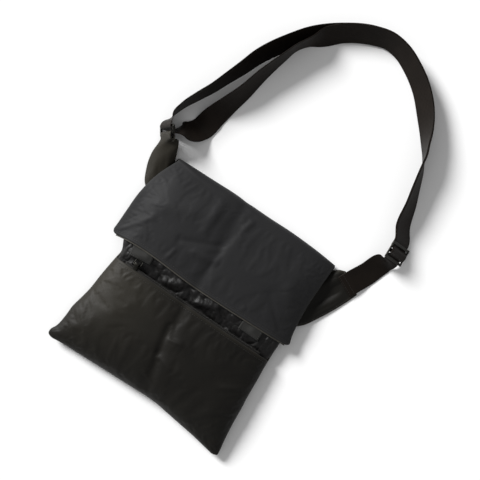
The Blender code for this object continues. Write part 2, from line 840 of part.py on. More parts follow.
def extrude_outline(outline, low, high):
    """A closed prism in a bmesh, from an outline in Y and Z, between two places in X."""
    shape = bmesh.new()
    start = [shape.verts.new((low, y, z)) for y, z in outline]
    end = [shape.verts.new((high, y, z)) for y, z in outline]
    shape.faces.new(start)
    shape.faces.new(list(reversed(end)))
    for k in range(len(outline)):
        m = (k + 1) % len(outline)
        shape.faces.new((start[m], start[k], end[k], end[m]))
    return shape


def build_zip_slider(material):
    """The zip slider: two plates that hold the tape's edge between them, with a bail on top for the pull."""
    place, slope = zip_place()
    back = -ZIP_BITE
    front = ZIP_BODY_LENGTH - ZIP_BITE
    half = ZIP_BODY_HEIGHT / 2
    slot = ZIP_SLOT / 2
    outline = [(back, slot), (GAP, slot), (GAP, -slot), (back, -slot), (back, -half), (front, -half)]
    outline += [(front, half + ZIP_BAIL_HEIGHT), (GAP + ZIP_BAIL_BAR, half + ZIP_BAIL_HEIGHT)]
    outline += [(GAP + ZIP_BAIL_BAR, half + ZIP_BAIL_HEIGHT - ZIP_BAIL_BAR)]
    outline += [(front - ZIP_BAIL_BAR, half + ZIP_BAIL_HEIGHT - ZIP_BAIL_BAR)]
    outline += [(front - ZIP_BAIL_BAR, half), (back, half)]
    slider = add_object("zip_slider", extrude_outline(outline, -ZIP_BODY_WIDTH / 2, ZIP_BODY_WIDTH / 2), material)
    slider.location = place
    slider.rotation_euler = (0.0, -slope, 0.0)
    return slider


def build_zip_pull(material):
    """The looped pull, hooked through the zip slider's bail and dropped forward onto the lining."""
    place, slope = zip_place()
    loop = rounded_loop(PULL_WIDTH, PULL_LENGTH, PULL_CORNER, 3)
    loop[:, 1] += PULL_LENGTH / 2
    pull = add_ring("zip_pull", loop, PULL_WIRE / 2, 8, material)
    above = ZIP_BODY_HEIGHT / 2 + PULL_WIRE / 2 + GAP
    ahead = GAP + ZIP_BAIL_BAR + PULL_WIRE / 2 + CLOTH_GAP
    pull.location = place + np.array([-math.sin(slope) * above, ahead, math.cos(slope) * above])
    pull.rotation_euler = (-math.radians(PULL_DROP), -slope, 0.0)
    return pull


class Seat(NamedTuple):
    """Where a piece of strap hardware is: its middle, the way the strap runs, its bars, and its upper face."""

    middle: np.ndarray
    ahead: np.ndarray
    bars: np.ndarray
    face: np.ndarray

    def at(self, along, above, aside=0.0):
        """A place at distances along the strap, above the face and aside along the bars."""
        return self.middle + along * self.ahead + above * self.face + aside * self.bars


def leaned(ahead, lean):
    """The webbing's width direction, and the direction out of its upper face, for a heading and a lean."""
    inner = np.array([ahead[1], -ahead[0], 0.0])
    up = np.array([0.0, 0.0, 1.0])
    angle = math.radians(lean)
    return math.cos(angle) * inner + math.sin(angle) * up, math.cos(angle) * up - math.sin(angle) * inner


def strap_place(across, reach):
    """Where a place on the strap's way is from above, from its shares of the body's width and the reach."""
    return np.array([across * BODY_WIDTH, TOP_Y + reach * STRAP_REACH])


def seat_of(across, reach, heading, lean, half_bar):
    """A seat whose lower end just clears the floor."""
    ahead = np.array([math.cos(math.radians(heading)), math.sin(math.radians(heading)), 0.0])
    bars, face = leaned(ahead, lean)
    height = half_bar * math.sin(math.radians(lean)) + RING_WIRE / 2
    return Seat(np.array([*strap_place(across, reach), height]), ahead, bars, face)


def ring_seat():
    """Where the left ring is."""
    return seat_of(RING_ACROSS, RING_REACH, RING_HEADING, RING_LEAN, ring_half_bar())


def ring_half_bar():
    """Half the length of the ring's bars, to the middle of its side wires."""
    return WEBBING_WIDTH / 2 + WEBBING_CLEARANCE + RING_WIRE / 2


def slider_seat():
    """Where the strap's slider is."""
    half_bar = WEBBING_WIDTH / 2 + WEBBING_CLEARANCE + STRAP_SLIDER_RAIL
    place = (STRAP_SLIDER_ACROSS, STRAP_SLIDER_REACH)
    return seat_of(*place, STRAP_SLIDER_HEADING, STRAP_SLIDER_LEAN, half_bar)


def build_ring_left(material):
    """The rectangular wire ring that the left wing holds and the strap runs through."""
    seat = ring_seat()
    half_pitch = (RING_OPENING + RING_WIRE) / 2
    loop = rounded_loop(2 * half_pitch, 2 * ring_half_bar(), RING_CORNER, 3)
    path = np.array([seat.at(x, 0.0, y) for x, y, _ in loop])
    return add_ring("ring_left", path, RING_WIRE / 2, 8, material)


def build_strap_slider(material):
    """The strap's slider: a flat frame with a middle bar between two slots."""
    seat = slider_seat()
    middle = STRAP_SLIDER_MIDDLE_BAR / 2
    slot = middle + STRAP_SLIDER_SLOT
    end = slot + STRAP_SLIDER_BAR
    inner = WEBBING_WIDTH / 2 + WEBBING_CLEARANCE
    outer = inner + STRAP_SLIDER_RAIL
    along = [-end, -slot, -middle, middle, slot, end]
    aside = [-outer, -inner, inner, outer]
    holes = {(1, 1), (3, 1)}
    shape = bmesh.new()
    high = [[shape.verts.new(seat.at(a, STRAP_SLIDER_WALL / 2, b)) for b in aside] for a in along]
    low = [[shape.verts.new(seat.at(a, -STRAP_SLIDER_WALL / 2, b)) for b in aside] for a in along]
    cells = {(i, j) for i in range(len(along) - 1) for j in range(len(aside) - 1)} - holes
    for i, j in cells:
        corners = [(i, j), (i, j + 1), (i + 1, j + 1), (i + 1, j)]
        shape.faces.new([high[k][m] for k, m in corners])
        shape.faces.new([low[k][m] for k, m in reversed(corners)])
        beyond = [(i - 1, j), (i, j + 1), (i + 1, j), (i, j - 1)]
        for (one, two), cell in zip(zip(corners, corners[1:] + corners[:1]), beyond):
            if cell not in cells:
                (k, m), (p, q) = one, two
                shape.faces.new((high[p][q], high[k][m], low[k][m], low[p][q]))
    frame = add_object("strap_slider", shape, material)
    bevel = frame.modifiers.new("eased edges", "BEVEL")
    bevel.width = STRAP_SLIDER_WALL / 5
    bevel.segments = 1
    bevel.angle_limit = math.radians(40)
    return frame


def layer_pitch():
    """Distance between the middles of two layers of webbing that lie on each other."""
    return WEBBING_WALL + LAYER_GAP


def stations_on(rows, doubled, lift):
    """Stations of the webbing for rows of its route, each its middle and its width direction."""
    places = np.array([strap_place(row.across, row.reach) for row in rows])
    ahead = unit(np.gradient(places, axis=0))
    made = []
    for place, heading, row in zip(places, ahead, rows):
        bars, face = leaned(heading, row.lean)
        under = max(face[2], 0.0) * layer_pitch() if doubled else 0.0
        lifted = under + lift + row.lift * WEBBING_WIDTH
        height = WEBBING_WIDTH / 2 * abs(bars[2]) + WEBBING_WALL / 2 + lifted
        made.append((np.array([place[0], place[1], height]), bars, face))
    return made


def build_strap(material):
    """One length of webbing: middle bar, arc, ring, back over the arc, slider and right wing."""
    ring = ring_seat()
    bar = Seat(ring.at((RING_OPENING + RING_WIRE) / 2, 0.0), ring.ahead, ring.bars, ring.face)
    slider = slider_seat()
    out = stations_on(STRAP_ROUTE, True, 0.0)
    back = stations_on(RETURN_ROUTE, False, 0.0)
    tail = stations_on(TAIL_ROUTE, False, 0.0)[:-1]
    tail += stations_on(TAIL_ROUTE + [TAIL_END], False, WING_WALL + 2 * CLOTH_GAP)[-2:]
    around = RING_WIRE / 2 + RING_SLACK + WEBBING_WALL / 2
    pitch = layer_pitch()
    over = STRAP_SLIDER_WALL / 2 + LAYER_GAP + WEBBING_WALL / 2
    beside = STRAP_SLIDER_MIDDLE_BAR / 2 + LAYER_GAP + WEBBING_WALL / 2
    stations = []
    for row in FIXED_END:
        stations.append((slider.at(row.along * beside, row.above * over + row.layers * pitch), -slider.bars))
    joined = int(np.argmin(np.abs(column(STRAP_ROUTE, "across") - RETURN_JOINS_AT)))
    stations += [(place - pitch * face, -bars) for place, bars, face in reversed(out[joined:])]
    stations += [(place, bars) for place, bars, _ in reversed(back)]
    turns = np.radians(np.linspace(RING_WRAP_START, RING_WRAP_END, WRAP_STEPS + 1))
    wrap = np.stack([np.cos(turns), np.sin(turns)], axis=1)
    tangents = np.stack([np.sin(turns), -np.cos(turns)], axis=1)
    before = [wrap[0] - leave * tangents[0] for leave in (RING_COME_STRAIGHT, RING_LEAVE)]
    after = wrap[-1] + RING_LEAVE * tangents[-1]
    for along, above in [*before, *wrap, after]:
        stations.append((bar.at(along * around, above * around), bar.bars))
    stations += [(place, bars) for place, bars, _ in out]
    for row in RUNNING_END:
        stations.append((slider.at(row.along * beside, row.above * over + row.layers * pitch), slider.bars))
    stations += [(place, bars) for place, bars, _ in tail]
    return add_webbing("strap", stations, material)


def add_webbing(name, stations, material):
    """A flat band of webbing on a smooth line through its stations, with no edge under the floor."""
    middles = np.array([place for place, _ in stations])
    widths = np.array([bars for _, bars in stations])
    chord = np.concatenate([[0.0], np.cumsum(np.linalg.norm(np.diff(middles, axis=0), axis=1))])
    at = [chord[0]]
    for one, two in zip(chord, chord[1:]):
        steps = max(1, math.ceil((two - one) / WEBBING_STEP))
        at += list(one + (two - one) * np.arange(1, steps + 1) / steps)
    line = blend(chord, middles, at)
    bars = blend(chord, widths, at)
    ahead = headings(line)
    bars = unit(bars - (bars * ahead).sum(axis=1, keepdims=True) * ahead) * WEBBING_WIDTH / 2
    line[:, 2] = np.maximum(line[:, 2], np.abs(bars[:, 2]) + WEBBING_WALL / 2)
    return add_cloth(name, np.stack([line - bars, line, line + bars], axis=1), WEBBING_WALL, material)


def wing_edges(rows, corner, reach, base, side):
    """The lower and upper edges of a wing, from its base out to its tip, as two arrays of points."""
    low = [
        corner + np.array([side * row.low_out * reach, row.low_side * base, row.low_rise * WING_BASE_HEIGHT])
        for row in rows
    ]
    high = [
        corner + np.array([side * row.high_out * reach, row.high_side * base, row.high_rise * WING_BASE_HEIGHT])
        for row in rows
    ]
    return np.array(low), np.array(high)


def wing_grid(low, high, folds):
    """A grid between a wing's edges, with shallow folds that fan out from its tip."""
    share = np.linspace(0, 1, WING_STEPS + 1)[None, :, None]
    grid = low[:, None, :] * (1 - share) + high[:, None, :] * share
    along = np.linspace(0, 1, len(low))[:, None]
    swell = np.sin(math.pi * np.minimum(along / WING_FOLD_END, 1))
    ripple = np.sin(math.pi * WING_FOLDS * share[..., 0]) * swell * WING_FOLD_RISE * folds
    grid[..., 2] += ripple
    return grid


def build_wing_right(material):
    """The right wing, from the side seam out to its tip under the webbing's sewn end."""
    low_y = FLAP_EDGE_Y + WING_RIGHT_START * FLAP_LENGTH
    _, seam = seam_x(low_y)
    corner = np.array([seam + WING_GAP, low_y, 0.0])
    low, high = wing_edges(WING_RIGHT, corner, WING_RIGHT_REACH, WING_RIGHT_BASE, 1)
    return add_cloth("wing_right", wing_grid(low, high, 1.0), WING_WALL, material)


def build_wing_left(material):
    """The left wing, from the side seam up to the ring and round its lower bar."""
    low_y = FLAP_EDGE_Y + WING_LEFT_START * FLAP_LENGTH
    seam, _ = seam_x(low_y)
    corner = np.array([seam - WING_GAP, low_y, 0.0])
    low, high = wing_edges(WING_LEFT, corner, WING_LEFT_REACH, WING_LEFT_BASE, -1)
    ring = ring_seat()
    bar = Seat(ring.at(-(RING_OPENING + RING_WIRE) / 2, 0.0), ring.ahead, ring.bars, ring.face)
    around = RING_WIRE / 2 + LAYER_GAP + WING_WALL / 2
    tail = WING_TAIL / around
    wrap = [*WING_WRAP, ThreadRow(-tail, -1.1)]
    half = WING_TIP_WIDTH / 2
    low_tip = np.array([bar.at(row.along * around, row.above * around, -half) for row in wrap])
    high_tip = np.array([bar.at(row.along * around, row.above * around, half) for row in wrap])
    cloth = wing_grid(low, high, 0.6)
    share = np.linspace(0, 1, WING_STEPS + 1)[None, :, None]
    tip = low_tip[:, None, :] * (1 - share) + high_tip[:, None, :] * share
    return add_cloth("wing_left", np.concatenate([cloth, tip]), WING_WALL, material)


def main():
    """Clears the scene and builds the bag."""
    for old in list(bpy.data.objects):
        bpy.data.objects.remove(old)
    nylon = make_material("nylon", (0.030, 0.029, 0.031), 0.62)
    pouch_nylon = make_material("pouch_nylon", (0.026, 0.024, 0.020), 0.60)
    lining_cloth = make_material("lining_cloth", (0.018, 0.015, 0.013), 0.45)
    webbing = make_material("webbing", (0.016, 0.015, 0.012), 0.75)
    tab_webbing = make_material("tab_webbing", (0.031, 0.030, 0.028), 0.75)
    tape = make_material("zip_tape", (0.030, 0.028, 0.026), 0.65)
    metal = make_material("dark_metal", (0.060, 0.060, 0.055), 0.35, 0.8)
    build_back_panel(pouch_nylon)
    build_front_panel(pouch_nylon)
    build_lining(lining_cloth)
    build_flap(nylon)
    build_flap_hem(tape)
    build_tab("tab_left", TAB_LEFT_X, TAB_LEFT_TURN, tab_webbing)
    build_tab("tab_right", TAB_RIGHT_X, TAB_RIGHT_TURN, tab_webbing)
    build_zip_tape(tape)
    build_zip_slider(metal)
    build_zip_pull(metal)
    build_wing_left(pouch_nylon)
    build_ring_left(metal)
    build_wing_right(pouch_nylon)
    build_strap_slider(metal)
    build_strap(webbing)


main()
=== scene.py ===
"""Looks of a flap shoulder bag of black nylon, lying on its back with its webbing strap looped above it.

X runs across the bag to its right, Y from the bottom seam towards the strap, and Z up from the floor.
"""

import logging
import math
from collections.abc import Callable, Sequence
from dataclasses import dataclass, field
from enum import Enum
from typing import Any, NamedTuple

import bpy
import numpy as np
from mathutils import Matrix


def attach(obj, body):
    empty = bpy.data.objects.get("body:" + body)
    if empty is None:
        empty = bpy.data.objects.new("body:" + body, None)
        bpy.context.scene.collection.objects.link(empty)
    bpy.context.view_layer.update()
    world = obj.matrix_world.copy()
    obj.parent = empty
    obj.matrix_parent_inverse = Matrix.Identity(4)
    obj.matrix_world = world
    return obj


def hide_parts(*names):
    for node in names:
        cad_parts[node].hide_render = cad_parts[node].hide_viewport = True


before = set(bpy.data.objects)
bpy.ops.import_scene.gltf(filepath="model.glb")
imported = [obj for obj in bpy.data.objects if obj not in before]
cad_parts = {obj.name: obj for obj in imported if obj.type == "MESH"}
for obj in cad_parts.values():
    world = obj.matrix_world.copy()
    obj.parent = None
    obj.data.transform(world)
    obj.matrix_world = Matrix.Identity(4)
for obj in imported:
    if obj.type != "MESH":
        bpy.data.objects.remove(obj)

Array = np.ndarray
MM = 0.001
LOG = logging.getLogger("flap_shoulder_bag")
BEAD_SIDES = 6
LATTICE = 97
EVEN_SHARE, CROWDED_SHARE = 0.45, 0.55
SECTION_POWER, SECTION_ROUND = 3, 0.55
BOTTOM_POWER, BOTTOM_ROUND = 5, 0.6
RUB_REACH = 3 * MM
THREAD_RADIUS = 0.26 * MM
THREAD_LIFT = 0.16 * MM
THREAD_DIP = 0.22 * MM


class SideRow(NamedTuple):
    """Where two side edges are, as shares of the body's or the flap's width, at a share of their length."""

    up: float
    left: float
    right: float


class EdgeRow(NamedTuple):
    """How far an edge across the bag lies from its straight line."""

    across: float
    drop: float


class LevelRow(NamedTuple):
    """A share of a piece's depth at a share of the way across or along it."""

    at: float
    height: float


class Fold(NamedTuple):
    """A ridge, or a crease where rise is below zero, between two places.

    The places are shares of the body's width and height from the origin. Width is a share of the body's
    width and rise a share of the pouch's depth.
    """

    start_x: float
    start_y: float
    end_x: float
    end_y: float
    width: float
    rise: float


class RouteRow(NamedTuple):
    """A place on the strap's way from its ring to its slider.

    Across is a share of the body's width, reach a share of the strap's reach above the top fold. Lean is
    the turn of the webbing about its own length, in degrees: 0 lies flat, 90 stands on its edge, and over 90
    leans away from the loop. Lift is how far its lower edge is off the floor, a share of its width.
    """

    across: float
    reach: float
    lean: float
    lift: float = 0.0


class WingRow(NamedTuple):
    """The two edges of a cloth wing at a share of its length.

    Out and side are shares of the wing's reach and of its base, from the base's lower corner, for the lower
    and the upper edge, and rise is a share of the wing's base height.
    """

    along: float
    low_out: float
    low_side: float
    low_rise: float
    high_out: float
    high_side: float
    high_rise: float


class ThreadRow(NamedTuple):
    """A place of the webbing at its slider.

    Along is a share of the distance from the middle bar's axis to the webbing beside it, above a share of
    the distance from the frame's middle to the webbing over it, and layers how many layers lie in between.
    """

    along: float
    above: float
    layers: int = 0


def table(kind: type, *rows: tuple[float, ...]) -> tuple[Any, ...]:
    """Makes the rows of a table from plain numbers."""
    return tuple(kind(*row) for row in rows)


POUCH_SIDES = table(
    SideRow,
    (0.00, -0.546, 0.563), (0.06, -0.535, 0.549), (0.14, -0.516, 0.539), (0.26, -0.507, 0.528),
    (0.38, -0.505, 0.520), (0.49, -0.493, 0.515), (0.61, -0.482, 0.507), (0.77, -0.476, 0.500),
    (1.00, -0.463, 0.489),
)
UPPER_SIDES = table(
    SideRow,
    (0.07, -0.458, 0.487), (0.16, -0.482, 0.487), (0.50, -0.490, 0.489), (1.00, -0.490, 0.489),
)
BOTTOM_EDGE = table(
    EdgeRow,
    (0.00, 0.055), (0.08, 0.032), (0.20, 0.020), (0.42, 0.000), (0.62, -0.008), (0.70, 0.013),
    (0.84, 0.050), (0.94, 0.086), (1.00, 0.108),
)
FLAP_FREE_EDGE = table(
    EdgeRow,
    (0.00, 0.027), (0.07, 0.000), (0.50, 0.000), (1.00, -0.030),
)
TOP_FOLD = table(
    EdgeRow,
    (0.00, 0.004), (0.20, 0.008), (0.42, -0.012), (0.55, -0.003), (0.72, -0.018), (1.00, 0.002),
)
FLAP_SIDES = table(
    SideRow,
    (0.00, -0.522, 0.503), (0.10, -0.520, 0.487), (0.25, -0.520, 0.475), (0.50, -0.518, 0.464),
    (0.75, -0.497, 0.464), (1.00, -0.452, 0.468),
)
FLAP_SECTION = table(
    LevelRow,
    (0.00, 0.45), (0.04, 0.56), (0.10, 0.80), (0.20, 0.96), (0.50, 1.00), (0.80, 0.95), (0.91, 0.80),
    (0.97, 0.60), (1.00, 0.47),
)
FLAP_CROWN = table(
    LevelRow,
    (0.00, 0.95), (0.30, 1.00), (0.60, 0.97), (0.85, 0.80), (1.00, 0.62),
)
LINING_CROWN = table(
    LevelRow,
    (0.00, 0.13), (0.10, 0.36), (0.21, 0.80), (0.30, 0.97), (0.60, 1.00), (0.85, 0.74), (1.00, 0.42),
)
POUCH_CROWN = table(
    LevelRow,
    (0.00, 0.90), (0.35, 1.00), (0.70, 0.96), (1.00, 0.87),
)

# The broad folds are the solids' own. The creases below each are the sharper ones that the cloth shows.
FLAP_FOLDS = table(
    Fold,
    (-0.060, 0.500, -0.030, 0.060, 0.035, -0.045), (-0.410, 0.290, -0.170, 0.390, 0.050, 0.050),
    (-0.160, 0.310, -0.165, 0.450, 0.030, 0.035), (0.370, 0.300, 0.490, 0.175, 0.040, 0.045),
    (-0.500, 0.330, -0.440, 0.500, 0.040, 0.050), (0.120, 0.360, 0.280, 0.410, 0.060, -0.030),
)
FLAP_CREASES = table(
    Fold,
    (0.001, 0.479, -0.038, 0.294, 0.018, -0.010), (-0.032, 0.286, -0.035, 0.122, 0.015, -0.012),
    (0.014, 0.452, 0.004, 0.418, 0.016, 0.032), (-0.142, 0.195, -0.030, 0.212, 0.024, 0.044),
    (-0.239, 0.204, -0.055, 0.283, 0.018, -0.024), (-0.246, 0.079, -0.231, 0.152, 0.010, 0.028),
    (-0.523, 0.087, -0.419, 0.220, 0.020, 0.030), (0.202, 0.060, 0.227, 0.110, 0.012, 0.022),
    (0.300, 0.230, 0.440, 0.120, 0.022, -0.024),
)
POUCH_FOLDS = table(
    Fold,
    (-0.030, -0.040, 0.035, -0.440, 0.035, -0.060), (0.010, -0.210, 0.090, -0.190, 0.035, 0.040),
    (-0.430, -0.080, -0.300, -0.260, 0.060, 0.035), (0.400, -0.060, 0.300, -0.300, 0.070, -0.040),
    (-0.500, -0.460, -0.400, -0.380, 0.045, 0.060), (0.500, -0.480, 0.400, -0.380, 0.050, 0.060),
)
POUCH_CREASES = table(
    Fold,
    (-0.037, -0.144, -0.002, -0.273, 0.018, -0.022), (-0.002, -0.273, 0.069, -0.470, 0.020, -0.020),
    (0.004, -0.194, 0.068, -0.184, 0.014, 0.034), (0.010, -0.292, 0.092, -0.306, 0.013, 0.032),
    (-0.006, -0.385, 0.044, -0.404, 0.012, 0.028), (0.371, -0.239, 0.430, -0.214, 0.016, 0.026),
    (0.440, -0.341, 0.496, -0.316, 0.014, 0.022), (-0.448, -0.397, -0.243, -0.144, 0.030, 0.026),
)
LINING_FOLDS = table(
    Fold,
    (-0.440, 0.010, -0.330, 0.050, 0.022, 0.060), (-0.265, 0.035, -0.200, -0.010, 0.018, -0.070),
    (-0.190, 0.000, -0.080, 0.050, 0.020, 0.060), (-0.060, 0.045, 0.000, -0.010, 0.018, -0.070),
    (0.010, 0.005, 0.110, 0.045, 0.020, 0.060), (0.140, 0.045, 0.200, -0.010, 0.018, -0.065),
    (0.330, 0.045, 0.420, -0.005, 0.022, 0.060),
)

STRAP_ROUTE = table(
    RouteRow,
    (-0.630, 0.123, 78), (-0.633, 0.150, 90), (-0.619, 0.201, 97), (-0.581, 0.275, 103),
    (-0.542, 0.344, 106), (-0.509, 0.417, 110), (-0.473, 0.496, 116), (-0.439, 0.577, 121),
    (-0.393, 0.652, 124), (-0.349, 0.710, 125), (-0.287, 0.780, 129), (-0.155, 0.877, 134),
    (-0.012, 0.948, 130), (0.069, 0.968, 126), (0.156, 0.960, 125), (0.250, 0.925, 126),
    (0.351, 0.867, 127), (0.443, 0.784, 124), (0.490, 0.729, 113), (0.530, 0.671, 99), (0.558, 0.630, 90),
    (0.579, 0.585, 79), (0.618, 0.478, 66), (0.640, 0.417, 60), (0.669, 0.318, 50),
)
RETURN_ROUTE = table(
    RouteRow,
    (-0.552, 0.114, 56, 0.10), (-0.508, 0.128, 32, 0.05), (-0.478, 0.164, 6), (-0.457, 0.238, -23),
    (-0.428, 0.322, -44), (-0.399, 0.403, -56), (-0.370, 0.519, -67), (-0.334, 0.626, -77),
    (-0.301, 0.710, -82), (-0.262, 0.762, -76), (-0.208, 0.825, -46),
)
TAIL_ROUTE = table(
    RouteRow,
    (0.694, 0.130, 28), (0.655, 0.045, 16), (0.618, -0.020, 12),
)
TAIL_END = RouteRow(0.597, -0.060, 12)
SLIDER_START = table(
    ThreadRow,
    (-0.4, -1), (0.6, -1), (1, -0.45), (1, 0.45), (0.6, 1), (-0.6, 1), (-1, 0.7), (-1.15, 0),
    (-2.2, -1, -1), (-3.2, -1, -1), (-4.6, -1, -1),
)
SLIDER_RUN = table(
    ThreadRow,
    (-4.6, -1), (-2.65, -1), (-1.7, 0.5), (-1.25, 1.4), (-0.6, 1, 1), (0.6, 1, 1), (1.3, 1.4), (1.75, 0.4),
    (2.7, -1), (3.6, -1), (4.6, -1),
)
WEBBING_FACE = table(
    LevelRow,
    (-1.0, 0.0), (-0.975, 0.72), (-0.92, 1.0), (-0.85, 0.86), (-0.4, 0.86), (0.0, 0.86), (0.4, 0.86),
    (0.85, 0.86), (0.92, 1.0), (0.975, 0.72), (1.0, 0.0),
)
BEAD = ((-0.50, 0.45, -1.0), (-0.32, 1.0, -0.2), (0.0, 1.05, 0.0), (0.32, 1.0, -0.2), (0.50, 0.45, -1.0))
RING_WRAP = ((-2.2, 0.8), (0.0, 1.0), (0.72, 0.72), (1.0, 0.0), (0.72, -0.72), (0.0, -1.0))

WING_RIGHT = table(
    WingRow,
    (0.0, 0.00, 0.000, 1.00, 0.00, 0.960, 0.35), (0.2, 0.24, 0.110, 0.55, 0.07, 0.980, 0.45),
    (0.4, 0.49, 0.320, 0.22, 0.14, 1.005, 0.60), (0.6, 0.71, 0.540, 0.15, 0.21, 1.030, 0.72),
    (0.8, 0.87, 0.730, 0.13, 0.28, 1.045, 0.80), (1.0, 0.98, 0.880, 0.13, 0.35, 1.060, 0.92),
)
WING_LEFT = table(
    WingRow,
    (0.00, 0.00, 0.00, 1.00, 0.00, 1.00, 0.35), (0.30, 0.42, 0.15, 0.70, 0.08, 1.20, 1.00),
    (0.55, 0.68, 0.46, 0.45, 0.17, 1.38, 1.90), (0.80, 0.86, 0.93, 0.45, 0.33, 1.54, 2.80),
)


def column(rows: Sequence[NamedTuple], name: str) -> Array:
    """Reads one named column of a table as an array."""
    return np.array([getattr(row, name) for row in rows], float)


def curve_through(knots: Any, values: Any, at: Any) -> Array:
    """Reads a smooth curve that goes through some values.

    Args:
        knots: where the values stand, rising.
        values: a number, a point or a row of points for each knot.
        at: the place or places to read.

    Returns:
        The curve's values at those places.
    """
    knots = np.asarray(knots, float)
    values = np.asarray(values, float)
    slopes = np.gradient(values, knots, axis=0)
    at = np.clip(np.asarray(at, float), knots[0], knots[-1])
    below = np.clip(np.searchsorted(knots, at, side="right") - 1, 0, len(knots) - 2)
    step = knots[below + 1] - knots[below]
    t = (at - knots[below]) / step
    for _ in range(values.ndim - 1):
        t = t[..., None]
        step = step[..., None]
    ends = (1 + 2 * t) * (1 - t) ** 2 * values[below] + t * t * (3 - 2 * t) * values[below + 1]
    bends = t * (1 - t) ** 2 * step * slopes[below] + t * t * (t - 1) * step * slopes[below + 1]
    return ends + bends


def read(rows: Sequence[Any], name: str, at: Any) -> Array:
    """Reads one column of a table as a smooth curve over its first column."""
    return curve_through(column(rows, rows[0]._fields[0]), column(rows, name), at)


def level(rows: Sequence[LevelRow], at: Any) -> Array:
    """Reads a table of levels as a smooth curve."""
    return read(rows, "height", at)


def ramp(low: float, high: float, at: Any) -> Array:
    """Goes smoothly from 0 below low to 1 above high."""
    t = np.clip((at - low) / (high - low), 0, 1)
    return t * t * (3 - 2 * t)


def edge_spaced(steps: int) -> Array:
    """Gives shares from 0 to 1 that lie closer together near both ends."""
    even = np.linspace(0, 1, steps + 1)
    return EVEN_SHARE * even + CROWDED_SHARE * (0.5 - 0.5 * np.cos(math.pi * even))


def rounded_corner(one: Array, two: Array) -> tuple[Array, Array]:
    """Finds how far points near a square corner move in to make it round.

    Args:
        one: distance from one edge, as a share of the corner's radius.
        two: distance from the other edge, as the same share.

    Returns:
        The moves away from the first and from the second edge, as shares of the radius.
    """
    a, b = np.clip(1 - one, 0, 1), np.clip(1 - two, 0, 1)
    return a * (1 - np.sqrt(1 - b * b / 2)), b * (1 - np.sqrt(1 - a * a / 2))


def unit(vectors: Array) -> Array:
    """Scales each vector of an array to length one."""
    return vectors / np.maximum(np.linalg.norm(vectors, axis=-1, keepdims=True), 1e-12)


def places(x: Any, y: Any, z: Any) -> Array:
    """Makes an array of points from three arrays of coordinates."""
    return np.stack(np.broadcast_arrays(x, y, z), axis=-1)


def headings(line: Array) -> Array:
    """Finds the direction at each point along an array's first axis, halfway between its neighbours."""
    steps = unit(np.diff(line, axis=0))
    return unit(np.concatenate([steps[:1], steps]) + np.concatenate([steps, steps[-1:]]))


def grid_normals(grid: Array) -> Array:
    """Finds the unit normals of a grid of points."""
    return unit(np.cross(headings(grid.swapaxes(0, 1)).swapaxes(0, 1), headings(grid)))


def run_lengths(line: Array) -> Array:
    """Measures how far along a line each of its points is."""
    steps = np.linalg.norm(np.diff(line, axis=0), axis=-1)
    return np.concatenate([np.zeros((1, *steps.shape[1:])), np.cumsum(steps, axis=0)])


def spread(steps: Sequence[float], chord: Array) -> Array:
    """Divides each stretch between the chord's places so that none is longer than the step.

    Args:
        steps: the longest step allowed in each stretch, or one for all.
        chord: rising places.

    Returns:
        All the places, the chord's own among them.
    """
    allowed = list(steps) * (1 if len(steps) > 1 else len(chord) - 1)
    at = [chord[0]]
    for one, two, most in zip(chord, chord[1:], allowed):
        count = max(1, math.ceil((two - one) / most))
        at += list(one + (two - one) * np.arange(1, count + 1) / count)
    return np.array(at)


@dataclass(frozen=True)
class Crumple:
    """Smooth random bumps over a surface, the same on every run. Size is one bump's width."""

    size: float
    seed: int

    def at(self, x: Array, y: Array) -> Array:
        """Reads the bumps, from -1 to 1, at places on the surface."""
        lattice = np.random.default_rng(self.seed).uniform(-1, 1, (LATTICE, LATTICE))
        u, v = np.broadcast_arrays(x / self.size + 50.3, y / self.size + 50.7)
        i, j = np.floor(u).astype(int), np.floor(v).astype(int)
        s, t = u - i, v - j
        s, t = s * s * (3 - 2 * s), t * t * (3 - 2 * t)
        i, j, k, m = (index % LATTICE for index in (i, j, i + 1, j + 1))
        low = lattice[i, j] * (1 - s) + lattice[k, j] * s
        return low * (1 - t) + (lattice[i, m] * (1 - s) + lattice[k, m] * s) * t

    def creases(self, x: Array, y: Array) -> Array:
        """Reads sharp-bottomed creases between the bumps, from -1 in a crease to 0 on a bump."""
        return np.minimum(np.abs(self.at(x, y)) * 2.2, 1) - 1


@dataclass
class Shell:
    """A mesh that is still to be made: its points, its faces, and where each point is on the flat cloth."""

    points: Array
    faces: list[tuple[int, ...]]
    flat: Array
    # How much each point takes the cloth's lighter colour: near rubbed edges, and where a highlight is
    # painted.
    rub_and_highlight: Array = field(default_factory=lambda: np.zeros(0))

    def outward(self) -> "Shell":
        """Turns the faces over if they point into the shell."""
        six_volume = 0.0
        for count in {len(face) for face in self.faces}:
            corners = self.points[np.array([face for face in self.faces if len(face) == count])]
            for k in range(1, count - 1):
                six_volume += (corners[:, 0] * np.cross(corners[:, k], corners[:, k + 1])).sum()
        if six_volume < 0:
            self.faces = [tuple(reversed(face)) for face in self.faces]
        return self


def grid_faces(rows: int, columns: int, first: int, closed: bool = False) -> Array:
    """Numbers the corners of a grid's faces.

    Args:
        rows: how many rows of points it has.
        columns: how many points a row has.
        first: the number of the grid's first point.
        closed: whether the last column joins the first one.

    Returns:
        Four numbers for each face.
    """
    i = np.arange(rows - 1)[:, None]
    j = np.arange(columns if closed else columns - 1)[None, :]
    k = (j + 1) % columns
    corners = [i * columns + j, i * columns + k, (i + 1) * columns + k, (i + 1) * columns + j]
    return first + np.stack([c.ravel() for c in np.broadcast_arrays(*corners)], axis=1)


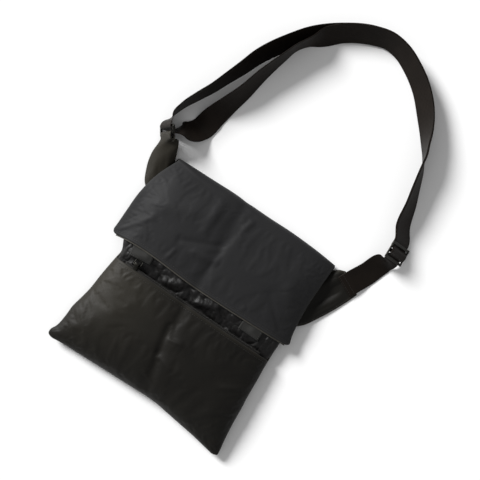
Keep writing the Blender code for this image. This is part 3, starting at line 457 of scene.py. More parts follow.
def skin_shell(upper: Array, lower: Array, rolls: tuple[float, float, float, float]) -> Shell:
    """Closes the space between two grids of points with one skin.

    Args:
        upper: the grid of one face.
        lower: the grid of the other face, with the same rows and columns.
        rolls: how far the rim stands out as a round edge at the first and last row and column, in metres.

    Returns:
        The closed shell, with its place on the flat cloth measured along its rows and columns.
    """
    rows, columns = upper.shape[:2]
    middle = (upper + lower) / 2
    count = rows * columns
    flat = np.stack([run_lengths(middle.swapaxes(0, 1)).T, run_lengths(middle)], axis=-1).reshape(-1, 2)
    rim = [(0, j) for j in range(columns)] + [(i, columns - 1) for i in range(1, rows)]
    rim += [(rows - 1, j) for j in range(columns - 2, -1, -1)] + [(i, 0) for i in range(rows - 2, 0, -1)]
    edge = []
    for i, j in rim:
        out = np.zeros(3)
        if i in (0, rows - 1):
            step = middle[i, j] - middle[1 if i == 0 else rows - 2, j]
            out = out + unit(step) * rolls[0 if i == 0 else 1]
        if j in (0, columns - 1):
            step = middle[i, j] - middle[i, 1 if j == 0 else columns - 2]
            out = out + unit(step) * rolls[2 if j == 0 else 3]
        edge.append(middle[i, j] + out)
    faces = [tuple(face) for face in grid_faces(rows, columns, 0).tolist()]
    faces += [tuple(reversed(face)) for face in grid_faces(rows, columns, count).tolist()]
    ahead = rim[1:] + rim[:1]
    for k, ((i, j), (p, q)) in enumerate(zip(rim, ahead)):
        near, far = i * columns + j, p * columns + q
        this, that = 2 * count + k, 2 * count + (k + 1) % len(rim)
        faces.append((far, near, this, that))
        faces.append((that, this, near + count, far + count))
    rim_flat = np.array([flat[i * columns + j] for i, j in rim])
    from_edge = np.minimum.reduce(np.broadcast_arrays(*(
        np.abs(run - end) for run, end in (
            (flat[:, 0], 0), (flat[:, 1], 0),
            (flat[:, 0], np.repeat(flat[:, 0].reshape(rows, columns)[:, -1], columns)),
            (flat[:, 1], np.tile(flat[:, 1].reshape(rows, columns)[-1], rows)),
        )
    )))
    rub_and_highlight = np.exp(-((from_edge / RUB_REACH) ** 2))
    points = np.concatenate([upper.reshape(-1, 3), lower.reshape(-1, 3), np.array(edge)])
    return Shell(
        points, faces, np.concatenate([flat, flat, rim_flat]), np.concatenate([rub_and_highlight, rub_and_highlight, np.ones(len(rim))])
    ).outward()


def cloth_shell(middle: Array, wall: float, roll: float = 0.5) -> Shell:
    """Gives a grid of points the thickness of its cloth, with round edges."""
    offset = grid_normals(middle) * wall / 2
    return skin_shell(middle + offset, middle - offset, (roll * wall,) * 4)


def tube_shell(path: Array, sections: Array, closed: bool) -> Shell:
    """Joins a row of sections, one for each point of a path, into one solid.

    Args:
        path: points along its middle.
        sections: the outline round each point, as offsets from it.
        closed: whether the path's end joins its start.

    Returns:
        The solid, capped at both ends unless it is closed.
    """
    rows, sides = sections.shape[:2]
    faces = [tuple(face) for face in grid_faces(rows, sides, 0, closed=True).tolist()]
    if closed:
        last = (rows - 1) * sides
        faces += [(last + k, last + (k + 1) % sides, (k + 1) % sides, k) for k in range(sides)]
    else:
        faces.append(tuple(range(sides - 1, -1, -1)))
        faces.append(tuple((rows - 1) * sides + k for k in range(sides)))
    along = run_lengths(path)
    around = np.linalg.norm(sections[0] - sections[0, :1], axis=-1)
    flat = np.stack(np.broadcast_arrays(around[None, :], along[:, None]), axis=-1).reshape(-1, 2)
    return Shell((path[:, None] + sections).reshape(-1, 3), faces, flat).outward()


def bead_shell(centres: Array, along: Array, up: Array, length: float, radius: float, sink: float) -> Shell:
    """Makes many short round beads, such as stitches or a zip's teeth, as one mesh.

    Args:
        centres: the middle of each bead.
        along: the direction that each lies in.
        up: the direction out of the cloth that each lies on.
        length: the length of a bead.
        radius: its radius.
        sink: how far its two ends dip towards the cloth.

    Returns:
        The beads.
    """
    side = unit(np.cross(along, up))
    angles = np.arange(BEAD_SIDES) * 2 * math.pi / BEAD_SIDES
    rings = []
    for run, wide, dip in BEAD:
        middle = centres + along * run * length + up * dip * sink
        ring = side[:, None] * np.cos(angles)[None, :, None] + up[:, None] * np.sin(angles)[None, :, None]
        rings.append(middle[:, None] + ring * wide * radius)
    points = np.stack(rings, axis=1)
    one = grid_faces(len(BEAD), BEAD_SIDES, 0, closed=True)
    count = BEAD_SIDES * len(BEAD)
    caps = np.array([range(BEAD_SIDES - 1, -1, -1), range(count - BEAD_SIDES, count)])
    starts = np.arange(len(centres)) * count
    faces = [tuple(face) for start in starts for face in (one + start).tolist() + (caps + start).tolist()]
    return Shell(points.reshape(-1, 3), faces, points.reshape(-1, 3)[:, :2]).outward()


def points_along(at: Array, run: Array, points: Array) -> Array:
    """Reads a line of points at distances along it, straight from one to the next."""
    return np.stack([np.interp(at, run, points[:, k]) for k in range(3)], axis=1)


def stitch_row(line: Array, up: Array, stitch: float = 3.2 * MM, gap: float = 0.9 * MM) -> Shell:
    """Sews a row of stitches along a line that lies on the face of some cloth.

    Args:
        line: points along the row.
        up: the direction out of the cloth at each.
        stitch: the length of one stitch.
        gap: the cloth that shows between two stitches.

    Returns:
        The stitches, each drawn thicker than the real 0.3 mm thread so that it shows.
    """
    run = run_lengths(line)
    count = max(2, int(run[-1] / (stitch + gap)))
    at = (np.arange(count) + 0.5) / count * run[-1]
    centres, raised = points_along(at, run, line), unit(points_along(at, run, up))
    along = unit(points_along(at, run, headings(line)))
    return bead_shell(centres + raised * THREAD_LIFT, along, raised, stitch, THREAD_RADIUS, THREAD_DIP)


def joined(shells: Sequence[Shell]) -> Shell:
    """Joins several shells into one."""
    faces, first = [], 0
    for shell in shells:
        faces += [tuple(k + first for k in face) for face in shell.faces]
        first += len(shell.points)
    return Shell(np.concatenate([s.points for s in shells]), faces, np.concatenate([s.flat for s in shells]))


def linear(code: str) -> tuple[float, float, float, float]:
    """Turns an sRGB hex colour into a linear one with full alpha."""
    parts = [int(code[k : k + 2], 16) / 255 for k in (1, 3, 5)]
    red, green, blue = (p / 12.92 if p <= 0.04045 else ((p + 0.055) / 1.055) ** 2.4 for p in parts)
    return red, green, blue, 1.0


def add_node(tree: bpy.types.NodeTree, kind: str, settings: dict[str, Any], inputs: dict[Any, Any]) -> Any:
    """Adds a node with its settings, and links or fills its inputs.

    Args:
        tree: the material's node tree.
        kind: the node's type.
        settings: values for the node's own fields.
        inputs: a value, or the output of another node, for each input by its name or number.

    Returns:
        The new node.
    """
    node = tree.nodes.new(kind)
    for name, value in settings.items():
        setattr(node, name, value)
    for name, value in inputs.items():
        if isinstance(value, bpy.types.NodeSocket):
            tree.links.new(value, node.inputs[name])
        else:
            node.inputs[name].default_value = value
    return node


def start_material(name: str) -> tuple[bpy.types.Material, Any, Any]:
    """Makes a material and gives it, its node tree and its shader."""
    material = bpy.data.materials.new(name)
    material.use_nodes = True
    return material, material.node_tree, material.node_tree.nodes["Principled BSDF"]


def bands(tree: Any, where: Any, axis: str, spacing: float) -> Any:
    """Adds ridges a real spacing apart across one direction of the flat cloth, and gives their height."""
    settings = {"wave_type": "BANDS", "bands_direction": axis, "wave_profile": "SIN"}
    scale = 2 * math.pi / (20 * spacing)
    return add_node(tree, "ShaderNodeTexWave", settings, {"Vector": where, "Scale": scale}).outputs["Fac"]


def cloud(tree: Any, where: Any, size: float, detail: float, ridged: bool = False) -> Any:
    """Adds smooth noise with patches of a real size, and gives its value."""
    settings = {"noise_type": "RIDGED_MULTIFRACTAL"} if ridged else {}
    inputs = {"Vector": where, "Scale": 1 / size, "Detail": detail, "Roughness": 0.55}
    return add_node(tree, "ShaderNodeTexNoise", settings, inputs).outputs[0]


def arithmetic(tree: Any, operation: str, one: Any, two: Any) -> Any:
    """Adds one sum or product of two values."""
    return add_node(tree, "ShaderNodeMath", {"operation": operation}, {0: one, 1: two}).outputs[0]


def blended(tree: Any, share: Any, one: Any, two: Any) -> Any:
    """Adds a mix of two colours by a share."""
    node = add_node(tree, "ShaderNodeMix", {"data_type": "RGBA"}, {0: share, 6: one, 7: two})
    return node.outputs[2]


def coordinates(tree: Any, kind: str) -> Any:
    """Adds the texture coordinates of one kind."""
    return add_node(tree, "ShaderNodeTexCoord", {}, {}).outputs[kind]


def product(tree: Any, one: Any, two: Any) -> Any:
    """Adds the product of two values."""
    return arithmetic(tree, "MULTIPLY", one, two)


def total(tree: Any, one: Any, two: Any) -> Any:
    """Adds the sum of two values."""
    return arithmetic(tree, "ADD", one, two)


def bump(tree: Any, strength: float, depth: float, height: Any, under: Any = None) -> Any:
    """Adds a bump of a real depth, over another one if there is one, and gives the bent normal."""
    inputs = {"Strength": strength, "Distance": depth, "Height": height}
    if under is not None:
        inputs["Normal"] = under
    return add_node(tree, "ShaderNodeBump", {}, inputs).outputs[0]


def drive(tree: Any, shader: Any, sources: dict[str, Any]) -> None:
    """Links a source to each shader input that is named."""
    for name, source in sources.items():
        tree.links.new(source, shader.inputs[name])


@dataclass(frozen=True)
class WovenNylon:
    """Nylon cloth in plain weave, dyed black and pressed smooth.

    To the eye it is a dark, even grey with a wide, weak highlight, lighter where it is rubbed, and its fine
    puckers catch the light. Some highlights are also painted into its colour, in the same lighter colour as
    the rubbed places. The real threads are 0.25 mm apart; they are drawn coarser to show.
    """

    name: str
    dye: str
    rubbed: str
    thread: float = 0.8 * MM
    thread_depth: float = 0.08 * MM
    roughness: float = 0.6
    rough_range: float = 0.16
    sheen: float = 0.04
    specular: float = 0.14
    pucker: float = 9 * MM
    pucker_depth: float = 0.25 * MM
    sharp: bool = False
    patch: float = 45 * MM
    patch_share: float = 0.2
    fluff: float = 1.6 * MM
    rub_and_highlight_share: float = 0.9

    def make(self) -> bpy.types.Material:
        """Builds the material."""
        material, tree, shader = start_material(f"{self.name}_finish")
        cloth = coordinates(tree, "UV")
        weave = product(tree, bands(tree, cloth, "X", self.thread), bands(tree, cloth, "Y", self.thread))
        puckers = cloud(tree, cloth, self.pucker, 3.0, self.sharp)
        patches = cloud(tree, cloth, self.patch, 2.0)
        rub_and_highlight = add_node(tree, "ShaderNodeAttribute", {"attribute_name": "rub_and_highlight"}, {}).outputs["Fac"]
        fluffed = total(tree, product(tree, cloud(tree, cloth, self.fluff, 2.0), 0.5), 0.5)
        # The point attribute lightens the colour at rubbed edges and at painted highlights; the patches are
        # random tone.
        wear_and_highlight = product(tree, product(tree, rub_and_highlight, fluffed), self.rub_and_highlight_share)
        wear_and_highlight = total(tree, wear_and_highlight, product(tree, patches, self.patch_share))
        rough = total(tree, product(tree, patches, self.rough_range), self.roughness - self.rough_range / 2)
        shader.inputs["Specular IOR Level"].default_value = self.specular
        shader.inputs["Sheen Weight"].default_value = self.sheen
        shader.inputs["Sheen Roughness"].default_value = 0.45
        wide = bump(tree, 0.8, self.pucker_depth, puckers)
        drive(tree, shader, {
            "Base Color": blended(tree, wear_and_highlight, linear(self.dye), linear(self.rubbed)),
            "Roughness": rough,
            "Normal": bump(tree, 0.45, self.thread_depth, weave, wide),
        })
        return material


@dataclass(frozen=True)
class NylonWebbing:
    """Nylon webbing woven with a rib across it, and a firm selvedge at each side.

    To the eye it is near black, with fine cross ribs that glint one after another; the glint is painted into
    the colour, lighter on the crests of the ribs in patches. The ribs are about 1.2 mm apart on the real
    band;
    they are drawn at the spacing given so that they show.
    """

    name: str
    dye: str
    glint: str
    rib: float = 1.9 * MM
    rib_depth: float = 0.22 * MM
    cord: float = 3.1 * MM
    cord_share: float = 0.5
    glint_patch: float = 20 * MM
    glint_share: float = 0.9
    roughness: float = 0.5
    sheen: float = 0.02
    specular: float = 0.1

    def make(self) -> bpy.types.Material:
        """Builds the material."""
        material, tree, shader = start_material(f"{self.name}_finish")
        band = coordinates(tree, "UV")
        ribs = bands(tree, band, "Y", self.rib)
        height = total(tree, ribs, product(tree, bands(tree, band, "X", self.cord), self.cord_share))
        # The glint is painted: the rib crests are mixed towards the lighter glint colour, in patches.
        share = product(tree, ribs, product(tree, cloud(tree, band, self.glint_patch, 3.0), self.glint_share))
        shader.inputs["Roughness"].default_value = self.roughness
        shader.inputs["Specular IOR Level"].default_value = self.specular
        shader.inputs["Sheen Weight"].default_value = self.sheen
        shader.inputs["Sheen Roughness"].default_value = 0.4
        drive(tree, shader, {
            "Base Color": blended(tree, share, linear(self.dye), linear(self.glint)),
            "Normal": bump(tree, 0.7, self.rib_depth, height),
        })
        return material


@dataclass(frozen=True)
class SpunThread:
    """Bonded nylon sewing thread: a touch lighter than the cloth, with the slant of its twist."""

    name: str
    dye: str
    glint: str = "#2a2926"
    twist: float = 0.5 * MM
    twist_depth: float = 0.1 * MM
    roughness: float = 0.5

    def make(self) -> bpy.types.Material:
        """Builds the material."""
        material, tree, shader = start_material(f"{self.name}_finish")
        slant = bands(tree, coordinates(tree, "Object"), "DIAGONAL", self.twist)
        shader.inputs["Roughness"].default_value = self.roughness
        drive(tree, shader, {
            # The twist's ridges are painted in the lighter glint colour, as a highlight.
            "Base Color": blended(tree, product(tree, slant, 0.5), linear(self.dye), linear(self.glint)),
            "Normal": bump(tree, 0.5, self.twist_depth, slant),
        })
        return material


@dataclass(frozen=True)
class PlatedZinc:
    """Cast zinc with a black nickel plating, tumbled to a half gloss.

    To the eye it is dark grey metal with small bright glints on its edges and faint rubbing marks.
    """

    name: str
    plating: str
    rubbed: str
    roughness: float
    rough_range: float = 0.2
    mark: float = 3 * MM
    mark_depth: float = 0.04 * MM

    def make(self) -> bpy.types.Material:
        """Builds the material."""
        material, tree, shader = start_material(f"{self.name}_finish")
        marks = cloud(tree, coordinates(tree, "Object"), self.mark, 4.0)
        rough = total(tree, product(tree, marks, self.rough_range), self.roughness - self.rough_range / 2)
        shader.inputs["Metallic"].default_value = 1.0
        drive(tree, shader, {
            "Base Color": blended(tree, product(tree, marks, 0.8), linear(self.plating), linear(self.rubbed)),
            "Roughness": rough,
            "Normal": bump(tree, 0.25, self.mark_depth, marks),
        })
        return material


class Finish(Enum):
    """The finishes of the bag, each named for the record's material slot that it takes after."""

    FLAP_CLOTH = WovenNylon("nylon", "#202021", "#2a2a2a")
    # The pouch cloth's lighter colour serves for rubbed edges, and also as a painted highlight on the front
    # panel's upper left and over the left wing.
    POUCH_CLOTH = WovenNylon("pouch_nylon", "#100f0d", "#2b2821", roughness=0.52)
    LINING_CLOTH = WovenNylon(
        "lining_cloth", "#060505", "#14120f", thread=0.6 * MM, roughness=0.5, sheen=0.02, pucker=11 * MM,
        pucker_depth=1.6 * MM, sharp=True, specular=0.3,
    )
    WEBBING = NylonWebbing("webbing", "#110d0a", "#28211b")
    TAB_WEBBING = NylonWebbing("tab_webbing", "#272726", "#403f3d", rib=1.3 * MM, cord=2.2 * MM)
    # The tape's lighter colour is mostly a painted highlight: the flap's hem binding is painted wholly in it.
    TAPE = WovenNylon("zip_tape", "#0f0e0d", "#57544e", thread=0.7 * MM, pucker_depth=0.1 * MM)
    METAL = PlatedZinc("dark_metal", "#141413", "#383733", roughness=0.36)
    THREAD = SpunThread("sewing_thread", "#121110")

    def material(self) -> bpy.types.Material:
        """Gives the finish's material, and makes it the first time."""
        return bpy.data.materials.get(f"{self.value.name}_finish") or self.value.make()


def add_object(name: str, data: Any) -> bpy.types.Object:
    """Adds an object with its data to the scene."""
    made = bpy.data.objects.new(name, data)
    bpy.context.scene.collection.objects.link(made)
    return made


def add_piece(name: str, shell: Shell, finish: Finish, stands_for: str = "") -> bpy.types.Object:
    """Makes a piece from its shell, dresses it, and fixes it to the bag.

    Args:
        name: the piece's name.
        shell: its mesh.
        finish: its finish.
        stands_for: the CAD node that it takes the place of, if it does.

    Returns:
        The piece.
    """
    mesh = bpy.data.meshes.new(name)
    mesh.from_pydata(shell.points.tolist(), [], shell.faces)
    corners = np.zeros(len(mesh.loops), int)
    mesh.loops.foreach_get("vertex_index", corners)
    mesh.uv_layers.new(name="flat").data.foreach_set("uv", shell.flat[corners].astype(np.float32).ravel())
    rub_and_highlight = shell.rub_and_highlight if len(shell.rub_and_highlight) else np.zeros(len(shell.points))
    mesh.attributes.new("rub_and_highlight", "FLOAT", "POINT").data.foreach_set("value", rub_and_highlight.astype(np.float32))
    mesh.materials.append(finish.material())
    mesh.shade_smooth()
    mesh.update()
    piece = add_object(name, mesh)
    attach(piece, "root")
    if stands_for:
        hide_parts(stands_for)
    return piece


def add_stitches(name: str, rows: Sequence[tuple[Array, Array]]) -> bpy.types.Object:
    """Sews rows of stitches, each given by its line and by the direction out of the cloth along it."""
    return add_piece(name, joined([stitch_row(line, up) for line, up in rows]), Finish.THREAD)


def tumble(piece: bpy.types.Object, width: float, segments: int) -> None:
    """Rounds the edges of a cast piece."""
    bevel = piece.modifiers.new("tumbled edges", "BEVEL")
    bevel.width, bevel.segments, bevel.angle_limit = width, segments, math.radians(40)


def declare_sheet(
    middle: Array,
) -> None:
    """Measures the flat size that a piece of cloth was cut to; the sizes are not kept or used.

    Args:
        middle: the grid of points that it was made on, whose rows and columns keep the cut's lengths.
    """
    wide, tall = run_lengths(middle.swapaxes(0, 1))[-1].max(), run_lengths(middle)[-1].max()


@dataclass(frozen=True)
class Settling:
    """A short cloth simulation that lets a sewn panel find its own puckers.

    Rows and columns are its coarse grid's. Spare is the share by which the cloth is larger than the frame
    that it is sewn into, deepest how far a pucker may move it, and free how far from its edge it is loose.
    """

    rows: int
    columns: int
    pressure: float
    spare: float
    deepest: float
    free: float
    frames: int = 16
    wide: float = 34 * MM

    def shift(
        self, name: str, face: Callable[[Array, Array], Array], size: tuple[float, float], across: Array,
        along: Array, low: float = 1.0,
    ) -> Array:
        """Simulates a panel's puckers and reads them on its fine grid.

        Args:
            name: a name for the cloth.
            face: gives the panel's places for shares across and along it.
            size: its width and length.
            across: the fine columns' places.
            along: the fine rows' places.
            low: how much of the distance from its first row counts.

        Returns: How far each place moves along its normal, in metres.
        """
        rows, columns = np.linspace(0, 1, self.rows), np.linspace(0, 1, self.columns)
        from_side = np.minimum(columns, 1 - columns)[None, :] * size[0]
        from_end = np.minimum(rows * low, 1 - rows)[:, None] * size[1]
        held = 1 - ramp(1 * MM, self.free, np.minimum(from_side, from_end))
        return refined(self.puckers(name, face(columns[None, :], rows[:, None]), held), along, across)

    def puckers(self, name: str, grid: Array, held: Array) -> Array:
        """Runs the simulation on a coarse grid.

        Args:
            name: a name for the cloth.
            grid: the panel's points.
            held: how firmly each is held, from 0 to 1.

        Returns:
            How far each point moves along its normal, in metres.
        """
        rows, columns = grid.shape[:2]
        mesh = bpy.data.meshes.new(name)
        mesh.from_pydata(grid.reshape(-1, 3).tolist(), [], grid_faces(rows, columns, 0).tolist())
        cloth = add_object(name, mesh)
        group = cloth.vertex_groups.new(name="held")
        for index, share in enumerate(held.ravel().tolist()):
            group.add([index], share, "REPLACE")
        modifier = cloth.modifiers.new("settling", "CLOTH")
        settings = modifier.settings
        settings.quality = 5
        settings.mass = 0.12
        settings.tension_stiffness = 12
        settings.compression_stiffness = 12
        settings.shear_stiffness = 4
        settings.bending_stiffness = 0.4
        settings.vertex_group_mass = "held"
        settings.shrink_min = -self.spare
        settings.use_pressure = True
        settings.uniform_pressure_force = self.pressure
        settings.effector_weights.gravity = 0.0
        modifier.collision_settings.use_collision = False
        modifier.point_cache.frame_end = self.frames
        scene = bpy.context.scene
        for step in range(1, self.frames + 1):
            scene.frame_set(step)
        settled = cloth.evaluated_get(bpy.context.evaluated_depsgraph_get())
        moved = np.zeros(rows * columns * 3, np.float32)
        settled.data.vertices.foreach_get("co", moved)
        scene.frame_set(1)
        bpy.data.objects.remove(cloth)
        shift = ((moved.reshape(grid.shape) - grid) * grid_normals(grid)).sum(axis=-1)
        shift = np.nan_to_num(shift) - self.smoothed(np.nan_to_num(shift), grid)
        return self.deepest * np.tanh(shift / self.deepest) * (1 - held)

    def smoothed(self, shift: Array, grid: Array) -> Array:
        """Takes the broad swelling of the panel alone, which its solid already has."""
        for axis in (0, 1):
            step = run_lengths(grid if axis == 0 else grid.swapaxes(0, 1))[-1].mean() / (grid.shape[axis] - 1)
            reach = max(1, round(self.wide / step / 2))
            weights = np.hanning(2 * reach + 3)[1:-1]
            pad = [(reach, reach) if k == axis else (0, 0) for k in (0, 1)]
            padded = np.pad(shift, pad, mode="edge")
            shift = np.apply_along_axis(np.convolve, axis, padded, weights / weights.sum(), mode="valid")
        return shift


def refined(values: Array, rows: Array, columns: Array) -> Array:
    """Reads a coarse grid of values on a finer one.

    Args:
        values: the coarse grid, evenly spaced from 0 to 1 both ways.
        rows: the fine rows' places.
        columns: the fine columns' places.

    Returns:
        The fine grid.
    """
    down = curve_through(np.linspace(0, 1, values.shape[0]), values, rows)
    return curve_through(np.linspace(0, 1, values.shape[1]), down.T, columns).T


@dataclass(frozen=True)
class Body:
    """The sewn outline that every cloth piece of the bag is cut to, with the sizes that the solids have."""

    width: float = 300 * MM
    pouch_height: float = 153 * MM
    band_height: float = 33 * MM
    flap_length: float = 149 * MM
    flap_width: float = 318 * MM
    mouth_y: float = -10 * MM
    pouch_depth: float = 44 * MM
    seam_level: float = 13 * MM
    lining_depth: float = 28 * MM
    flap_depth: float = 37 * MM
    back_wall: float = 2.4 * MM
    front_wall: float = 2.0 * MM
    flap_wall: float = 2.4 * MM
    lining_wall: float = 1.4 * MM
    gap: float = 0.3 * MM
    cloth_gap: float = 0.5 * MM
    back_curl: float = 30 * MM
    corner_round: float = 18 * MM
    seam_fade: float = 45 * MM
    lining_tuck: float = 48 * MM
    lining_narrowing: float = 32 * MM
    lining_top_setback: float = 17 * MM

    @property
    def bottom_y(self) -> float:
        """How far down the bottom seam is."""
        return self.mouth_y - self.pouch_height

    @property
    def flap_edge_y(self) -> float:
        """Where the flap's free edge is."""
        return self.mouth_y + self.band_height

    @property
    def top_y(self) -> float:
        """Where the top fold is."""
        return self.flap_edge_y + self.flap_length

    @property
    def back_top_y(self) -> float:
        """Where the back panel ends and the flap's fold begins."""
        return self.top_y - 0.5 * self.flap_depth * FLAP_CROWN[-1].height

    @property
    def height(self) -> float:
        """The whole height of the body."""
        return self.top_y - self.bottom_y

    def relief(self, folds: Sequence[Fold], x: Array, y: Array) -> Array:
        """Adds up the height of a table of folds at places on the bag."""
        height = np.zeros(np.broadcast(x, y).shape)
        for fold in folds:
            start = np.array([fold.start_x * self.width, fold.start_y * self.height])
            run = np.array([fold.end_x * self.width, fold.end_y * self.height]) - start
            share = np.clip(((x - start[0]) * run[0] + (y - start[1]) * run[1]) / (run @ run), 0, 1)
            away = np.hypot(x - start[0] - share * run[0], y - start[1] - share * run[1])
            spread_out = np.exp(-((away / (fold.width * self.width)) ** 2))
            height = height + fold.rise * self.pouch_depth * spread_out
        return height

    def seam_x(self, y: Any) -> tuple[Array, Array]:
        """Finds the left and the right side seam at a height up the body."""
        upper = self.top_y - self.mouth_y
        knots = [self.bottom_y + column(POUCH_SIDES, "up") * self.pouch_height]
        knots.append(self.mouth_y + column(UPPER_SIDES, "up") * upper)
        rows = POUCH_SIDES + UPPER_SIDES
        knots = np.concatenate(knots)
        return tuple(curve_through(knots, column(rows, side), y) * self.width for side in ("left", "right"))

    def seam_height(self, y: Any) -> Array:
        """Finds the height of the side seam, which falls to the floor near the top fold."""
        fall = ramp(self.back_top_y - self.seam_fade, self.back_top_y, y)
        return self.seam_level + (1.6 * self.back_wall - self.seam_level) * fall

    def plan(self, across: Array, y: Array, inset: float) -> tuple[Array, Array]:
        """Finds where a place on the body is from above.

        Args:
            across: 0 at the left seam to 1 at the right one.
            y: the height up the body before the bottom seam's own line is added.
            inset: how far the place is drawn in from the seams.

        Returns:
            Its X and its Y.
        """
        left, right = self.seam_x(y)
        side = 2 * across - 1
        lowness = np.clip((self.mouth_y - y) / self.pouch_height, 0, 1)
        drop = read(BOTTOM_EDGE, "drop", across)
        x = (left + inset) * (1 - across) + (right - inset) * across
        y = np.broadcast_to(y, x.shape)
        from_side = (1 - np.abs(side)) / 2 * (right - left) / self.corner_round
        from_bottom = (y - self.bottom_y) / self.corner_round
        in_side, in_up = rounded_corner(from_side, from_bottom)
        x = x - np.sign(side) * in_side * self.corner_round
        return x, y + lowness * (inset - drop * self.pouch_height) + in_up * self.corner_round

    @staticmethod
    def fill(across: Array) -> Array:
        """Gives the share of the full height that a puffed section has across the body."""
        return (1 - np.abs(2 * across - 1) ** SECTION_POWER) ** SECTION_ROUND


@dataclass
class Pouch:
    """The lower front of the bag: its puffed front panel, and the back panel that the whole bag lies on."""

    body: Body
    columns: int = 150
    rows: int = 96
    # Where the painted highlight on the front panel's upper left lies, and how wide it is.
    painted_highlight_x: float = -135 * MM
    painted_highlight_y: float = -40 * MM
    painted_highlight_width: float = 85 * MM
    painted_highlight_length: float = 85 * MM
    hem_stitch: float = 4 * MM
    settling: Settling = Settling(56, 104, 2.5, 0.035, 0.4 * MM, 9 * MM)
    pieces: list[bpy.types.Object] = field(default_factory=list)

    def face(self, across: Array, y: Array, inset: float) -> Array:
        """Finds places on the front panel, on its outer face where inset is 0."""
        body = self.body
        x, plan_y = body.plan(across, y, inset)
        lowness = np.clip((body.mouth_y - y) / body.pouch_height, 0, 1)
        crown = level(POUCH_CROWN, 1 - lowness) * (body.pouch_depth - inset - body.seam_level)
        folds = body.relief(POUCH_FOLDS, x, plan_y) + body.relief(POUCH_CREASES, x, plan_y)
        puff = body.fill(across) * (1 - lowness**BOTTOM_POWER) ** BOTTOM_ROUND
        return places(x, plan_y, body.seam_level + body.gap / 2 + puff * (crown + folds))

    def puckers(self, across: Array, up: Array) -> Array:
        """Finds how far the puckers move the front panel."""
        body = self.body
        return self.settling.shift(
            "front_cloth", lambda side, rise: self.face(side, body.bottom_y + body.pouch_height * rise, 0.0),
            (body.width, body.pouch_height), across, up,
        )

    def build_front(self) -> None:
        """Builds the front panel with its hem's stitches."""
        body = self.body
        across, up = edge_spaced(self.columns), edge_spaced(self.rows)
        y = (body.bottom_y + body.pouch_height * up)[:, None]
        outer = self.face(across[None, :], y, 0.0)
        inner = self.face(across[None, :], y, body.front_wall)
        shift = grid_normals(outer) * self.puckers(across, up)[..., None]
        outer, inner = outer + shift, inner + shift
        shell = skin_shell(outer, inner, (0, 0.5 * body.front_wall, 0, 0))
        # The front panel's upper left is painted lighter, as a highlight where it faces the key light;
        # elsewhere the rubbed edges keep half their lightening.
        from_painted_highlight = (shell.points[:, :2] - [self.painted_highlight_x, self.painted_highlight_y]) / [self.painted_highlight_width, self.painted_highlight_length]
        shell.rub_and_highlight = np.maximum(0.5 * shell.rub_and_highlight, np.exp(-(from_painted_highlight**2).sum(axis=1)))
        panel = add_piece("front_panel_cloth", shell, Finish.POUCH_CLOTH, "front_panel")
        normals = grid_normals(outer)
        row = np.argmin(np.abs(y[:, 0] - (body.mouth_y - self.hem_stitch)))
        threads = add_stitches("front_hem_stitches", [(outer[row, 6:-6], normals[row, 6:-6])])
        self.pieces += [panel, threads]

    def build_back(self) -> None:
        """Builds the back panel: flat on the floor, curled up to the seams."""
        body = self.body
        across = edge_spaced(self.columns)[None, :]
        y = (body.bottom_y + (body.back_top_y - body.bottom_y) * edge_spaced(self.rows + 40))[:, None]
        left, right = body.seam_x(y)
        from_side = (1 - np.abs(2 * across - 1)) * (right - left) / 2
        side_curl = np.clip(1 - from_side / body.back_curl, 0, 1) ** 2
        bottom_curl = np.clip(1 - (y - body.bottom_y) / body.back_curl, 0, 1) ** 2
        curl = 1 - (1 - side_curl) * (1 - bottom_curl)
        rim = body.seam_height(y) - body.gap / 2
        outer = places(*body.plan(across, y, 0.0), rim * curl)
        inner = places(*body.plan(across, y, body.back_wall), body.back_wall + (rim - body.back_wall) * curl)
        shell = skin_shell(inner, outer, (0, 0, 0, 0))
        panel = add_piece("back_panel_cloth", shell, Finish.POUCH_CLOTH, "back_panel")
        declare_sheet((inner + outer) / 2)
        self.pieces.append(panel)

    def build(self) -> list[bpy.types.Object]:
        """Builds the pouch."""
        self.build_back()
        self.build_front()
        return self.pieces


